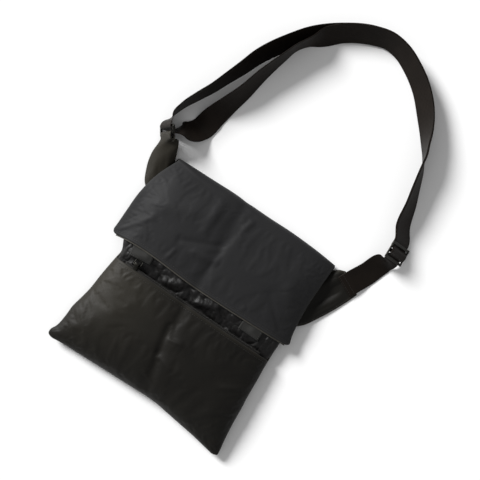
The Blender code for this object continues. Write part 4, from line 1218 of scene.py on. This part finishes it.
@dataclass
class Lining:
    """The thin inner cloth, crumpled where it is bare in the band between the mouth and the flap."""

    body: Body
    columns: int = 210
    rows: int = 150
    bare_margin: float = 6 * MM
    bare_rows: int = 70
    low_rows: int = 24
    high_rows: int = 40
    fade_low: float = 20 * MM
    fade_high: tuple[float, float] = (60 * MM, 10 * MM)
    crumple: float = 1.5 * MM
    fine_share: float = 0.45
    wander: float = 5 * MM
    drift: Crumple = Crumple(17 * MM, 3)
    broad_creases: Crumple = Crumple(15 * MM, 11)
    fine_creases: Crumple = Crumple(7 * MM, 23)

    def middle(self, across: Array, y: Array) -> Array:
        """Finds places on the middle of the lining as its solid has it."""
        body = self.body
        tucked = 1 - ramp(body.mouth_y - body.lining_tuck, body.mouth_y + 0.3 * body.band_height, y)
        under_front = 1 - ramp(body.mouth_y, body.mouth_y + 0.5 * body.band_height, y)
        inset = body.lining_wall / 2 + body.gap + body.lining_narrowing * tucked**2
        inset = inset + (body.front_wall + body.cloth_gap) * under_front
        left, right = body.seam_x(y)
        x = (left + inset) * (1 - across) + (right - inset) * across
        curl = np.clip(1 - (inset - body.back_wall) / body.back_curl, 0, 1) ** 2
        rim = body.seam_height(y) + body.cloth_gap + body.lining_wall
        floor = body.back_wall + body.lining_wall / 2 + body.cloth_gap
        edge = floor + (rim - floor) * curl
        start = body.mouth_y - body.lining_tuck
        along = (y - start) / (body.top_y - body.lining_top_setback - start)
        crown = np.maximum(body.lining_depth * level(LINING_CROWN, along), edge)
        z = edge + (crown - edge + body.relief(LINING_FOLDS, x, y)) * body.fill(across)
        return places(x, y, z)

    def build(self) -> list[bpy.types.Object]:
        """Builds the lining, with creases pressed down into it where it is bare."""
        body = self.body
        across = edge_spaced(self.columns)[None, :]
        start, end = body.mouth_y - body.lining_tuck, body.top_y - body.lining_top_setback
        bare_start, bare_end = body.mouth_y - self.bare_margin, body.flap_edge_y + self.bare_margin
        bare = np.linspace(bare_start, bare_end, self.bare_rows)
        low = np.linspace(start, bare[0], self.low_rows)[:-1]
        high = np.linspace(bare[-1], end, self.high_rows)[1:]
        y = np.concatenate([low, bare, high])[:, None]
        grid = self.middle(across, y)
        x = grid[..., 0]
        fades = (end - off for off in self.fade_high)
        shown = ramp(start + self.fade_low, body.mouth_y, y) * (1 - ramp(*fades, y))
        inside = ramp(0.0, 0.05, across) * ramp(0.0, 0.05, 1 - across)
        wander = self.wander * self.drift.at(x, y)
        coarse = self.broad_creases.creases(x * 1.5 + wander, y * 0.75 + wander)
        fine = self.fine_creases.creases(x * 1.3 + wander, y * 0.8 - wander)
        grid[..., 2] += (coarse * self.crumple + fine * self.fine_share * self.crumple) * shown * inside
        shell = cloth_shell(grid, body.lining_wall)
        piece = add_piece("lining_cloth_piece", shell, Finish.LINING_CLOTH, "lining")
        declare_sheet(grid)
        return [piece]


@dataclass
class Flap:
    """The padded flap over the upper half, with its round top fold, its hem binding and its stitches."""

    body: Body
    columns: int = 160
    rows: int = 84
    curl_rows: int = 22
    join: float = 3 * MM
    hem_width: float = 7.5 * MM
    hem_show: float = 2.6 * MM
    hem_wall: float = 1.0 * MM
    corner: float = 8 * MM
    edge_roll: float = 0.9 * MM
    seam_inset: float = 5 * MM
    settling: Settling = Settling(52, 108, 1.5, 0.03, 0.25 * MM, 12 * MM)
    pieces: list[bpy.types.Object] = field(default_factory=list)

    def fold_start(self, across: Array) -> Array:
        """Finds how far up the bag the flap's face goes before it folds over."""
        body = self.body
        drop = read(TOP_FOLD, "drop", across)
        deep = body.flap_depth * FLAP_CROWN[-1].height * level(FLAP_SECTION, across)
        return body.top_y - body.flap_length * drop - (deep - body.back_wall / 2) / 2

    def middle(self, across: Array, along: Array, creased: bool = True) -> Array:
        """Finds places on the middle of the flap, from its free edge to where it starts to fold over."""
        body = self.body
        free = body.flap_edge_y - body.flap_length * read(FLAP_FREE_EDGE, "drop", across)
        y = free + (self.fold_start(across) - free) * along
        left, right = (read(FLAP_SIDES, side, along) * body.flap_width for side in ("left", "right"))
        x = left * (1 - across) + right * across
        away = np.minimum(across, 1 - across) * body.flap_width / self.corner
        along_edge = np.broadcast_to((y - free) / self.corner, x.shape)
        in_side, in_up = rounded_corner(away, along_edge)
        x = x + np.where(across < 0.5, 1, -1) * in_side * self.corner
        y = y + in_up * self.corner
        section = level(FLAP_SECTION, across)
        z = body.flap_depth * level(FLAP_CROWN, along) * section + body.relief(FLAP_FOLDS, x, y) * section
        if creased:
            z = z + body.relief(FLAP_CREASES, x, y) * section * ramp(0.0, 0.12, along)
        return places(x, y, z)

    def puckers(self, across: Array, along: Array) -> Array:
        """Finds how far the puckers move the flap."""
        size = (self.body.flap_width, self.body.flap_length)
        return self.settling.shift("flap_cloth", self.middle, size, across, along, low=0.8)

    def build_cloth(self) -> None:
        """Builds the flap's cloth down to the back panel, and its stitches."""
        body = self.body
        across, along = edge_spaced(self.columns), np.linspace(0, 1, self.rows + 1)
        face = self.middle(across[None, :], along[:, None])
        face = face + grid_normals(face) * self.puckers(across, along)[..., None]
        start = face[-1]
        end_x, _ = body.plan(across, np.array(body.back_top_y), 0.0)
        rows = []
        for step in range(1, self.curl_rows + 1):
            angle = math.pi * step / self.curl_rows
            down = (1 - math.cos(angle)) / 2
            radius = (start[:, 2] - body.back_wall / 2) / 2
            x = start[:, 0] + (end_x - start[:, 0]) * down
            flat_y = start[:, 1] + (body.back_top_y + self.join - start[:, 1]) * down
            z = start[:, 2] + (body.back_wall / 2 - start[:, 2]) * down
            rows.append(places(x, flat_y + radius * math.sin(angle), z))
        rows.append(places(end_x, body.back_top_y + body.cloth_gap, body.back_wall / 2))
        grid = np.concatenate([face, np.array(rows)])
        offset = grid_normals(grid) * body.flap_wall / 2
        rolls = (self.edge_roll, 0.0, self.edge_roll, self.edge_roll)
        shell = skin_shell(grid + offset, grid - offset, rolls)
        flap = add_piece("flap_cloth_piece", shell, Finish.FLAP_CLOTH, "flap")
        normals = grid_normals(face)
        top = face + normals * body.flap_wall / 2
        row = int(round(self.seam_inset / body.flap_length * self.rows))
        threads = add_stitches("flap_stitches", [(top[row, 5:-5], normals[row, 5:-5])])
        declare_sheet(grid)
        self.pieces += [flap, threads]

    def build_hem(self) -> None:
        """Builds the binding that shows as a thin line under the free edge."""
        across = edge_spaced(self.columns)[None, 8:-8]
        steps = np.linspace(-self.hem_show, self.hem_width - self.hem_show, 8)[:, None]
        steps = steps / self.body.flap_length
        grid = self.middle(across, np.abs(steps), creased=False)
        edge = self.middle(across, np.zeros((1, 1)), creased=False)
        grid = np.where((steps < 0)[..., None], 2 * edge - grid, grid)
        grid[..., 2] -= (self.body.flap_wall + self.hem_wall) / 2 + self.body.gap
        shell = cloth_shell(grid, self.hem_wall)
        # The whole binding is painted in the tape's lighter colour, as the highlight along its rolled edge.
        shell.rub_and_highlight = np.ones(len(shell.points))
        hem = add_piece("flap_hem_binding", shell, Finish.TAPE, "flap_hem")
        self.pieces.append(hem)

    def build(self) -> list[bpy.types.Object]:
        """Builds the flap."""
        self.build_cloth()
        self.build_hem()
        return self.pieces


@dataclass
class Tab:
    """A short webbing tab that comes out from under the flap, sewn down at its end."""

    name: str
    lining: Lining
    middle_x: float
    turn: float
    width: float = 35 * MM
    show: float = 15 * MM
    length: float = 40 * MM
    wall: float = 1.6 * MM
    lift: float = 0.6 * MM

    def build(self) -> list[bpy.types.Object]:
        """Builds the tab and its stitches."""
        body, angle = self.lining.body, math.radians(self.turn)
        side = np.linspace(-self.width / 2, self.width / 2, 36)[None, :]
        up = np.linspace(-self.show, self.length - self.show, 40)[:, None]
        x = self.middle_x + side * math.cos(angle) - up * math.sin(angle)
        y = body.flap_edge_y + side * math.sin(angle) + up * math.cos(angle)
        left, right = body.seam_x(y)
        under = self.lining.middle((x - left) / (right - left), y)
        grid = places(x, y, under[..., 2] + (body.lining_wall + self.wall) / 2 + self.lift)
        tab = add_piece(f"{self.name}_webbing", cloth_shell(grid, self.wall), Finish.TAB_WEBBING, self.name)
        normals = grid_normals(grid)
        top = grid + normals * self.wall / 2
        threads = add_stitches(f"{self.name}_stitches", [
            (top[2, 1:-1], normals[2, 1:-1]),
            (top[1:-1, 2], normals[1:-1, 2]),
            (top[1:-1, -3], normals[1:-1, -3]),
        ])
        declare_sheet(grid)
        return [tab, threads]


@dataclass
class Zip:
    """The zip along the mouth: its tape, the coil on the tape's edge, its slider and its looped pull."""

    pouch: Pouch
    tape_width: float = 11 * MM
    tape_show: float = 5 * MM
    tape_wall: float = 1.0 * MM
    cell: int = 3
    cells: int = 20
    body_length: float = 11 * MM
    body_width: float = 7.5 * MM
    body_height: float = 5.0 * MM
    edge_round: float = 0.32 * MM
    bite: float = 3.6 * MM
    slot: float = 2.2 * MM
    bail_height: float = 4.6 * MM
    bail_bar: float = 1.1 * MM
    pull_length: float = 10 * MM
    pull_width: float = 12 * MM
    pull_wire: float = 1.8 * MM
    pull_corner: float = 2.2 * MM
    pull_drop: float = 14.0
    tooth_pitch: float = 1.7 * MM
    tooth_length: float = 2.0 * MM
    tooth_radius: float = 0.4 * MM
    tooth_dip: float = 0.2 * MM
    tooth_lift: float = 0.45 * MM
    tooth_inset: float = 1.0 * MM
    tooth_clearance: float = 0.8 * MM

    def hem(self, across: Array, out: float) -> Array:
        """Finds places on the middle of the tape, at a distance out from the mouth's hem."""
        body = self.pouch.body
        rows = self.pouch.face(across[None, :], np.full((1, len(across)), body.mouth_y), body.front_wall)[0]
        rows[:, 1] += out
        rows[:, 2] -= body.cloth_gap + self.tape_wall / 2
        return rows

    def place(self) -> tuple[Array, float]:
        """Finds the middle of the slider's bite on the tape's edge, and the tape's slope there."""
        ends = self.hem(edge_spaced(self.cells), self.tape_show)
        one, two = ends[self.cell], ends[self.cell + 1]
        return (one + two) / 2, math.atan2(two[2] - one[2], two[0] - one[0])

    def build_tape(self) -> list[bpy.types.Object]:
        """Builds the tape and the coil's teeth along its edge."""
        ends = edge_spaced(self.cells)
        across = np.linspace(ends[2], ends[-3], 160)
        steps = np.linspace(self.tape_show - self.tape_width, self.tape_show, 9)
        grid = np.array([self.hem(across, out) for out in steps])
        shell = cloth_shell(grid, self.tape_wall)
        shell.rub_and_highlight = np.zeros(len(shell.points))
        tape = add_piece("zip_tape_cloth", shell, Finish.TAPE, "zip_tape")
        where, _ = self.place()
        edge = self.hem(across, self.tape_show - self.tooth_inset)
        run = run_lengths(edge)
        at = np.arange(self.tooth_pitch, run[-1] - self.tooth_pitch, self.tooth_pitch)
        centres = points_along(at, run, edge)
        clear = np.abs(centres[:, 0] - where[0]) > self.body_width / 2 + self.tooth_clearance
        centres = centres[clear] + np.array([0.0, 0.0, self.tape_wall / 2 + self.tooth_lift])
        along = np.tile([0.0, 1.0, 0.0], (len(centres), 1))
        up = np.tile([0.0, 0.0, 1.0], (len(centres), 1))
        shell = bead_shell(centres, along, up, self.tooth_length, self.tooth_radius, self.tooth_dip)
        teeth = add_piece("zip_teeth", shell, Finish.THREAD)
        declare_sheet(grid)
        return [tape, teeth]

    def build_slider(self) -> list[bpy.types.Object]:
        """Builds the slider with its bail, and the pull hooked through it."""
        where, slope = self.place()
        gap, half, slot = self.pouch.body.gap, self.body_height / 2, self.slot / 2
        back, front, top = -self.bite, self.body_length - self.bite, self.body_height / 2 + self.bail_height
        bar = self.bail_bar
        outline = [(back, slot), (gap, slot), (gap, -slot), (back, -slot), (back, -half), (front, -half)]
        outline += [(front, top), (gap + bar, top), (gap + bar, top - bar), (front - bar, top - bar)]
        outline += [(front - bar, half), (back, half)]
        lean = np.array([math.cos(slope), 0.0, math.sin(slope)])
        out = np.array([-math.sin(slope), 0.0, math.cos(slope)])
        ends = [
            np.array([where + lean * x + np.array([0.0, y, 0.0]) + out * z for y, z in outline])
            for x in (-self.body_width / 2, self.body_width / 2)
        ]
        count = len(outline)
        faces = [tuple(range(count)), tuple(range(2 * count - 1, count - 1, -1))]
        faces += [((k + 1) % count, k, k + count, (k + 1) % count + count) for k in range(count)]
        points = np.concatenate(ends)
        shell = Shell(points, faces, points[:, :2]).outward()
        slider = add_piece("zip_slider_body", shell, Finish.METAL, "zip_slider")
        tumble(slider, self.edge_round, 3)
        loop = rounded_loop(self.pull_width, self.pull_length, self.pull_corner, 8)
        loop[:, 1] += self.pull_length / 2
        above = self.body_height / 2 + self.pull_wire / 2 + gap
        ahead = gap + bar + self.pull_wire / 2 + self.pouch.body.cloth_gap
        drop = math.radians(self.pull_drop)
        hook = where + out * above + np.array([0.0, ahead, 0.0])
        forward = np.array([0.0, math.cos(drop), 0.0]) - out * math.sin(drop)
        path = np.array([hook + lean * x + forward * y for x, y in loop[:, :2]])
        pull = add_piece("zip_pull_loop", wire_ring(path, self.pull_wire / 2, 14), Finish.METAL, "zip_pull")
        return [slider, pull]

    def build(self) -> list[bpy.types.Object]:
        """Builds the zip."""
        return self.build_tape() + self.build_slider()


def rounded_loop(length: float, width: float, corner: float, steps: int) -> Array:
    """Makes points round a rectangle with round corners, about the origin in X and Y."""
    loop = []
    for quarter in range(4):
        sign_x, sign_y = (1 if quarter in (0, 3) else -1), (1 if quarter in (0, 1) else -1)
        for step in range(steps + 1):
            angle = math.pi / 2 * (quarter + step / steps)
            x = sign_x * (length / 2 - corner) + corner * math.cos(angle)
            y = sign_y * (width / 2 - corner) + corner * math.sin(angle)
            loop.append((x, y, 0.0))
    return np.array(loop)


def wire_ring(path: Array, radius: float, sides: int) -> Shell:
    """Bends a round wire along a closed loop of points."""
    ahead = unit(np.roll(path, -1, axis=0) - np.roll(path, 1, axis=0))
    plane = unit(np.cross(path[0] - path.mean(axis=0), ahead[0]))
    outward = unit(np.cross(ahead, plane))
    angles = np.arange(sides) * 2 * math.pi / sides
    turns = outward[:, None] * np.cos(angles)[None, :, None] + plane * np.sin(angles)[None, :, None]
    return tube_shell(path, turns * radius, closed=True)


class Seat(NamedTuple):
    """Where a piece of strap hardware is: its middle, the strap's way, its bars, and its upper face."""

    middle: Array
    ahead: Array
    bars: Array
    face: Array

    def at(self, along: float, above: float, aside: float = 0.0) -> Array:
        """Finds a place at distances along the strap, above the face and aside along the bars."""
        return self.middle + along * self.ahead + above * self.face + aside * self.bars


class Station(NamedTuple):
    """A place that the webbing goes through, and the direction of its width there."""

    place: Array
    bars: Array
    face: Array


def leaned(ahead: Array, lean: float) -> tuple[Array, Array]:
    """Finds the webbing's width direction, and the one out of its upper face, for a heading and a lean."""
    inner, up, angle = np.array([ahead[1], -ahead[0], 0.0]), np.array([0.0, 0.0, 1.0]), math.radians(lean)
    return math.cos(angle) * inner + math.sin(angle) * up, math.cos(angle) * up - math.sin(angle) * inner


@dataclass(frozen=True)
class Hardware:
    """The ring on the left wing and the slider on the strap, with the sizes of both."""

    webbing: float = 38 * MM
    clearance: float = 1.0 * MM
    ring_wire: float = 3.5 * MM
    ring_opening: float = 9 * MM
    ring_lean: float = 60.0
    ring_x: float = -184.0 * MM
    ring_y: float = 197.0 * MM
    ring_heading: float = 124.5
    ring_corner: float = 2.6 * MM
    bar: float = 4.2 * MM
    middle_bar: float = 4.4 * MM
    slot: float = 7.9 * MM
    rail: float = 3.0 * MM
    wall: float = 2.4 * MM
    slider_x: float = 216.5 * MM
    slider_y: float = 240.5 * MM
    slider_lean: float = 45.0
    slider_heading: float = 273.0

    def seat(self, x: float, y: float, heading: float, lean: float, half_bar: float) -> Seat:
        """Sets a piece down so that its lower end just clears the floor."""
        ahead = np.array([math.cos(math.radians(heading)), math.sin(math.radians(heading)), 0.0])
        bars, face = leaned(ahead, lean)
        height = half_bar * math.sin(math.radians(lean)) + self.ring_wire / 2
        return Seat(np.array([x, y, height]), ahead, bars, face)

    @property
    def ring_half_bar(self) -> float:
        """Half the length of the ring's bars."""
        return self.webbing / 2 + self.clearance + self.ring_wire / 2

    @property
    def ring(self) -> Seat:
        """Where the ring is."""
        return self.seat(self.ring_x, self.ring_y, self.ring_heading, self.ring_lean, self.ring_half_bar)

    @property
    def slider(self) -> Seat:
        """Where the slider is."""
        half_bar = self.webbing / 2 + self.clearance + self.rail
        return self.seat(self.slider_x, self.slider_y, self.slider_heading, self.slider_lean, half_bar)

    def build_ring(self) -> bpy.types.Object:
        """Bends the ring from round wire."""
        loop = rounded_loop(self.ring_opening + self.ring_wire, 2 * self.ring_half_bar, self.ring_corner, 9)
        path = np.array([self.ring.at(x, 0.0, y) for x, y, _ in loop])
        return add_piece("ring_left_wire", wire_ring(path, self.ring_wire / 2, 20), Finish.METAL, "ring_left")

    def build_slider(self) -> bpy.types.Object:
        """Builds the slider: a flat frame with a middle bar between two slots, its edges tumbled round."""
        seat, middle = self.slider, self.middle_bar / 2
        slot, end = middle + self.slot, middle + self.slot + self.bar
        inner = self.webbing / 2 + self.clearance
        outer = inner + self.rail
        along, aside = [-end, -slot, -middle, middle, slot, end], [-outer, -inner, inner, outer]
        cells = {(i, j) for i in range(5) for j in range(3)} - {(1, 1), (3, 1)}
        points = [seat.at(a, side * self.wall / 2, b) for side in (1, -1) for a in along for b in aside]
        row, count = len(aside), len(along) * len(aside)
        faces = []
        for i, j in sorted(cells):
            corners = [(i, j), (i, j + 1), (i + 1, j + 1), (i + 1, j)]
            high = [row * k + m for k, m in corners]
            faces += [tuple(high), tuple(count + k for k in reversed(high))]
            beyond = [(i - 1, j), (i, j + 1), (i + 1, j), (i, j - 1)]
            for k, cell in enumerate(beyond):
                if cell not in cells:
                    one, two = high[k], high[(k + 1) % 4]
                    faces.append((two, one, one + count, two + count))
        shell = Shell(np.array(points), faces, np.array(points)[:, :2]).outward()
        slider = add_piece("strap_slider_frame", shell, Finish.METAL, "strap_slider")
        tumble(slider, self.wall / 3.2, 4)
        return slider

    def build(self) -> list[bpy.types.Object]:
        """Builds the ring and the slider."""
        return [self.build_ring(), self.build_slider()]


@dataclass
class Strap:
    """One length of webbing: from the slider round the arc to the ring, back, and to the right wing."""

    body: Body
    hardware: Hardware
    wall: float = 1.6 * MM
    reach: float = 345 * MM
    layer_gap: float = 0.4 * MM
    ring_slack: float = 0.8 * MM
    wrap_start: float = 167.0
    wrap_end: float = 58.0
    wrap_steps: int = 6
    leave: float = 1.7
    come_straight: float = 2.2
    joins_at: float = -0.155
    wing_wall: float = 2.0 * MM
    edge_share: float = 0.25
    end_stitches: tuple[float, float] = (3 * MM, 9 * MM)
    step: float = 2.4 * MM

    @property
    def pitch(self) -> float:
        """Distance between the middles of two layers that lie on each other."""
        return self.wall + self.layer_gap

    def resting(self, rise: Any) -> Any:
        """Finds how high the middle of the webbing is where its lower edge is on the floor.

        Args:
            rise: the upward part of its width's direction, from 0 where it lies flat to 1 where it stands.

        Returns:
            The height, in metres.
        """
        flatness = np.sqrt(1 - np.minimum(rise * rise, 1))
        half_wall = self.wall / 2 * np.maximum(flatness, self.edge_share)
        return self.hardware.webbing / 2 * np.abs(rise) + half_wall

    def stations_on(self, rows: Sequence[RouteRow], doubled: bool, lift: float) -> list[Station]:
        """Turns rows of the route into stations.

        Args:
            rows: the route.
            doubled: whether another layer lies under this one.
            lift: how far the whole stretch is off the floor.

        Returns:
            A station for each row.
        """
        width = self.hardware.webbing
        spots = np.array([[r.across * self.body.width, self.body.top_y + r.reach * self.reach] for r in rows])
        made = []
        for spot, heading, row in zip(spots, unit(np.gradient(spots, axis=0)), rows):
            bars, face = leaned(heading, row.lean)
            under = max(face[2], 0.0) * self.pitch if doubled else 0.0
            height = self.resting(bars[2]) + under + lift + row.lift * width
            made.append(Station(np.array([spot[0], spot[1], height]), bars, face))
        return made

    def stations(self) -> list[Station]:
        """Finds every station of the webbing, from its sewn start at the slider to its end on the wing."""
        ring, slider, hardware = self.hardware.ring, self.hardware.slider, self.hardware
        bar = ring._replace(middle=ring.at((hardware.ring_opening + hardware.ring_wire) / 2, 0.0))
        out = self.stations_on(STRAP_ROUTE, True, 0.0)
        back = self.stations_on(RETURN_ROUTE, False, 0.0)
        tail = self.stations_on(TAIL_ROUTE, False, 0.0)[:-1]
        on_wing = self.wing_wall + 2 * self.body.cloth_gap
        tail += self.stations_on((*TAIL_ROUTE, TAIL_END), False, on_wing)[-2:]
        around = hardware.ring_wire / 2 + self.ring_slack + self.wall / 2
        over = hardware.wall / 2 + self.layer_gap + self.wall / 2
        beside = hardware.middle_bar / 2 + self.layer_gap + self.wall / 2
        start, running = (
            [slider.at(row.along * beside, row.above * over + row.layers * self.pitch) for row in rows]
            for rows in (SLIDER_START, SLIDER_RUN)
        )
        made = [Station(place, -slider.bars, slider.face) for place in start]
        joined_at = [row.across for row in STRAP_ROUTE].index(self.joins_at)
        for station in reversed(out[joined_at:]):
            made.append(Station(station.place - self.pitch * station.face, -station.bars, station.face))
        made += list(reversed(back))
        turns = np.radians(np.linspace(self.wrap_start, self.wrap_end, self.wrap_steps + 1))
        wrap = np.stack([np.cos(turns), np.sin(turns)], axis=1)
        tangents = [np.array([math.sin(turn), -math.cos(turn)]) for turn in (turns[0], turns[-1])]
        before = [wrap[0] - reach * tangents[0] for reach in (self.come_straight, self.leave)]
        after = wrap[-1] + self.leave * tangents[1]
        turned = [bar.at(a * around, b * around) for a, b in [*before, *wrap, after]]
        made += [Station(place, bar.bars, bar.face) for place in turned]
        return made + out + [Station(place, slider.bars, slider.face) for place in running] + tail

    def build(self) -> list[bpy.types.Object]:
        """Sweeps the webbing's section, with its firm selvedges, along the stations, and sews its end."""
        stations = self.stations()
        chord = run_lengths(np.array([s.place for s in stations]))
        at = spread([self.step], chord)
        line = curve_through(chord, np.array([s.place for s in stations]), at)
        bars = curve_through(chord, np.array([s.bars for s in stations]), at)
        ahead = headings(line)
        half = self.hardware.webbing / 2
        bars = unit(bars - (bars * ahead).sum(axis=1, keepdims=True) * ahead)
        line[:, 2] = np.maximum(line[:, 2], self.resting(bars[:, 2]))
        up = unit(np.cross(ahead, bars))
        across, thick = column(WEBBING_FACE, "at"), column(WEBBING_FACE, "height") * self.wall / 2
        side = np.concatenate([across, across[-2:0:-1]]) * half
        rise = np.concatenate([thick, -thick[-2:0:-1]])
        sections = bars[:, None] * side[None, :, None] + up[:, None] * rise[None, :, None]
        shell = tube_shell(line, sections, closed=False)
        run = run_lengths(line)
        shell.flat = np.stack(np.broadcast_arrays(side[None, :], run[:, None]), axis=-1).reshape(-1, 2)
        strap = add_piece("strap_webbing", shell, Finish.WEBBING, "strap")
        rows = []
        reach = np.linspace(-0.9, 0.9, 20)[:, None] * half
        for off in self.end_stitches:
            k = int(np.argmin(np.abs(run[-1] - run - off)))
            face = up[k] if up[k][2] > 0 else -up[k]
            rows.append((line[k] + bars[k] * reach + face * thick[len(thick) // 2], np.tile(face, (20, 1))))
        return [strap, add_stitches("strap_end_stitches", rows)]


@dataclass
class Wing:
    """A three-sided cloth wing sewn to a side seam, with folds that fan out from its tip.

    Side is -1 for the left wing, which wraps round the ring's lower bar, and 1 for the right one, whose tip
    lies under the webbing's sewn end.
    """

    name: str
    body: Body
    hardware: Hardware
    table: tuple[WingRow, ...]
    side: int
    reach: float
    base: float
    start: float
    folds: float
    wall: float = 2.0 * MM
    base_height: float = 10 * MM
    wing_gap: float = 0.9 * MM
    tip_width: float = 34 * MM
    tail: float = 12 * MM
    fold_rise: float = 1.6 * MM
    fold_count: float = 3.0
    fold_end: float = 0.75
    pinch_count: float = 1.5
    pinch_phase: float = 0.6
    pinch_level: float = 0.6
    pinch_rise: float = 0.35
    edge_fade: float = 0.12
    # A share of the lighter colour painted over the whole wing, as a highlight.
    wear_and_highlight: float = 0.0
    layer_gap: float = 0.4 * MM
    columns: int = 44
    step: float = 1.6 * MM

    def edges(self) -> tuple[Array, Array, Array]:
        """Finds the lower and upper edge of the wing, and how deep its folds are at each place."""
        low_y = self.body.flap_edge_y + self.start * self.body.flap_length
        left, right = self.body.seam_x(low_y)
        seam = right + self.wing_gap if self.side > 0 else left - self.wing_gap
        corner = np.array([seam, low_y, 0.0])
        size = np.array([self.side * self.reach, self.base, self.base_height])
        rows = np.array(self.table)
        low, high = corner + rows[:, 1:4] * size, corner + rows[:, 4:7] * size
        along = np.linspace(0, 1, len(low))
        swell = np.sin(math.pi * np.minimum(along / self.fold_end, 1)) * self.fold_rise * self.folds
        if self.side > 0:
            return low, high, swell
        ring = self.hardware.ring
        bar = ring._replace(middle=ring.at(-(self.hardware.ring_opening + self.hardware.ring_wire) / 2, 0.0))
        around = self.hardware.ring_wire / 2 + self.layer_gap + self.wall / 2
        wrap = [*RING_WRAP, (-self.tail / around, -1.1)]
        low_tip, high_tip = (
            np.array([bar.at(a * around, b * around, half) for a, b in wrap])
            for half in (-self.tip_width / 2, self.tip_width / 2)
        )
        swell = np.concatenate([swell, np.zeros(len(wrap))])
        return np.concatenate([low, low_tip]), np.concatenate([high, high_tip]), swell

    def build(self) -> list[bpy.types.Object]:
        """Builds the wing and the stitches along its lower edge."""
        low, high, swell = self.edges()
        chord = run_lengths((low + high) / 2)
        at = spread([self.step], chord)
        low, high, deep = (curve_through(chord, values, at) for values in (low, high, swell))
        share = np.linspace(0, 1, self.columns + 1)[None, :]
        grid = low[:, None] * (1 - share[..., None]) + high[:, None] * share[..., None]
        fan = np.sin(math.pi * self.fold_count * share) * deep[:, None]
        turns = math.pi * self.fold_count * self.pinch_count * share + self.pinch_phase
        pinched = np.abs(np.sin(turns)) - self.pinch_level
        inner = ramp(0.0, self.edge_fade, share) * ramp(0.0, self.edge_fade, 1 - share)
        grid[..., 2] += fan + self.pinch_rise * pinched * deep[:, None] * inner
        grid[..., 2] = np.maximum(grid[..., 2], self.wall / 2 + 0.1 * MM)
        shell = cloth_shell(grid, self.wall)
        # The left wing is painted wholly in the lighter colour, as a highlight where the key light falls on
        # it; the right wing keeps only its rubbed edges.
        shell.rub_and_highlight = np.maximum(shell.rub_and_highlight, self.wear_and_highlight)
        wing = add_piece(f"{self.name}_cloth", shell, Finish.POUCH_CLOTH, self.name)
        normals = grid_normals(grid)
        face = normals if normals[len(grid) // 3, self.columns // 2, 2] > 0 else -normals
        top = grid + face * self.wall / 2
        rows = [(top[2:-2, 2], face[2:-2, 2])] if self.side > 0 else []
        threads = add_stitches(f"{self.name}_stitches", [*rows, (top[2, 2:-2], face[2, 2:-2])])
        declare_sheet(grid)
        return [wing, threads]


@dataclass(frozen=True)
class Studio:
    """A pale floor, a soft light from the upper left, and the camera straight above the bag."""

    floor_size: float = 30.0
    centre_x: float = 4.5 * MM
    centre_y: float = 120.4 * MM
    distance: float = 1.8
    view_width: float = 748.8 * MM
    sensor: float = 36.0
    turn: float = 34.5
    key_strength: float = 4.9
    key_height: float = 30.0
    key_softness: float = 20.0
    key_x: float = -0.97
    key_y: float = 0.22
    fill: float = 0.36

    def build_floor(self) -> None:
        """Lays the floor: matt white paper."""
        half = self.floor_size / 2
        mesh = bpy.data.meshes.new("floor")
        corners = [(-half, -half, 0), (half, -half, 0), (half, half, 0), (-half, half, 0)]
        mesh.from_pydata(corners, [], [(0, 1, 2, 3)])
        material, _, shader = start_material("white_paper")
        shader.inputs["Base Color"].default_value = linear("#f7f7f7")
        shader.inputs["Roughness"].default_value = 0.9
        shader.inputs["Specular IOR Level"].default_value = 0.1
        mesh.materials.append(material)
        add_object("floor", mesh)

    def build_lights(self) -> None:
        """Hangs the key light over the upper left, and fills the room with even light."""
        light = bpy.data.lights.new("key", "SUN")
        light.energy, light.angle = self.key_strength, math.radians(self.key_softness)
        key = add_object("key", light)
        # The key stands to the left of the bag and a little above its middle.
        side = math.atan2(self.key_y, self.key_x)
        up = math.radians(self.key_height)
        key.rotation_euler = (math.pi / 2 - up, 0.0, side + math.pi / 2)
        world = bpy.data.worlds.new("room")
        world.use_nodes = True
        sky = world.node_tree.nodes["Background"]
        sky.inputs["Color"].default_value = linear("#ffffff")
        sky.inputs["Strength"].default_value = self.fill
        bpy.context.scene.world = world
        bpy.context.scene.view_settings.view_transform = "Standard"

    def build_camera(self) -> None:
        """Sets the camera up over the bag."""
        lens = bpy.data.cameras.new("camera")
        lens.sensor_width = self.sensor
        lens.lens = self.sensor * self.distance / self.view_width
        lens.clip_end = 2 * self.floor_size
        camera = add_object("camera", lens)
        camera.location = (self.centre_x, self.centre_y, self.distance)
        camera.rotation_euler = (0.0, 0.0, math.radians(self.turn))
        bpy.context.scene.camera = camera

    def build(self) -> None:
        """Builds the studio."""
        self.build_floor()
        self.build_lights()
        self.build_camera()


def main() -> None:
    """Builds the bag piece by piece on its solids, then the studio."""
    logging.basicConfig(level=logging.INFO, format="%(message)s")
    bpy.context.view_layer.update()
    body, hardware = Body(), Hardware()
    pouch, lining = Pouch(body), Lining(body)
    assemblies = [
        pouch,
        lining,
        Flap(body),
        Tab("tab_left", lining, -107.5 * MM, 8.0),
        Tab("tab_right", lining, 96.5 * MM, 0.0),
        Zip(pouch),
        Wing("wing_left", body, hardware, WING_LEFT, -1, 43 * MM, 60 * MM, 0.52, 0.6, wear_and_highlight=1.0),
        Wing("wing_right", body, hardware, WING_RIGHT, 1, 56 * MM, 110 * MM, 0.22, 1.6),
        hardware,
        Strap(body, hardware),
    ]
    for assembly in assemblies:
        for piece in assembly.build():
            LOG.info("%s: %s, %d faces", type(assembly).__name__, piece.name, len(piece.data.polygons))
    Studio().build()


if __name__ == "__main__":
    main()
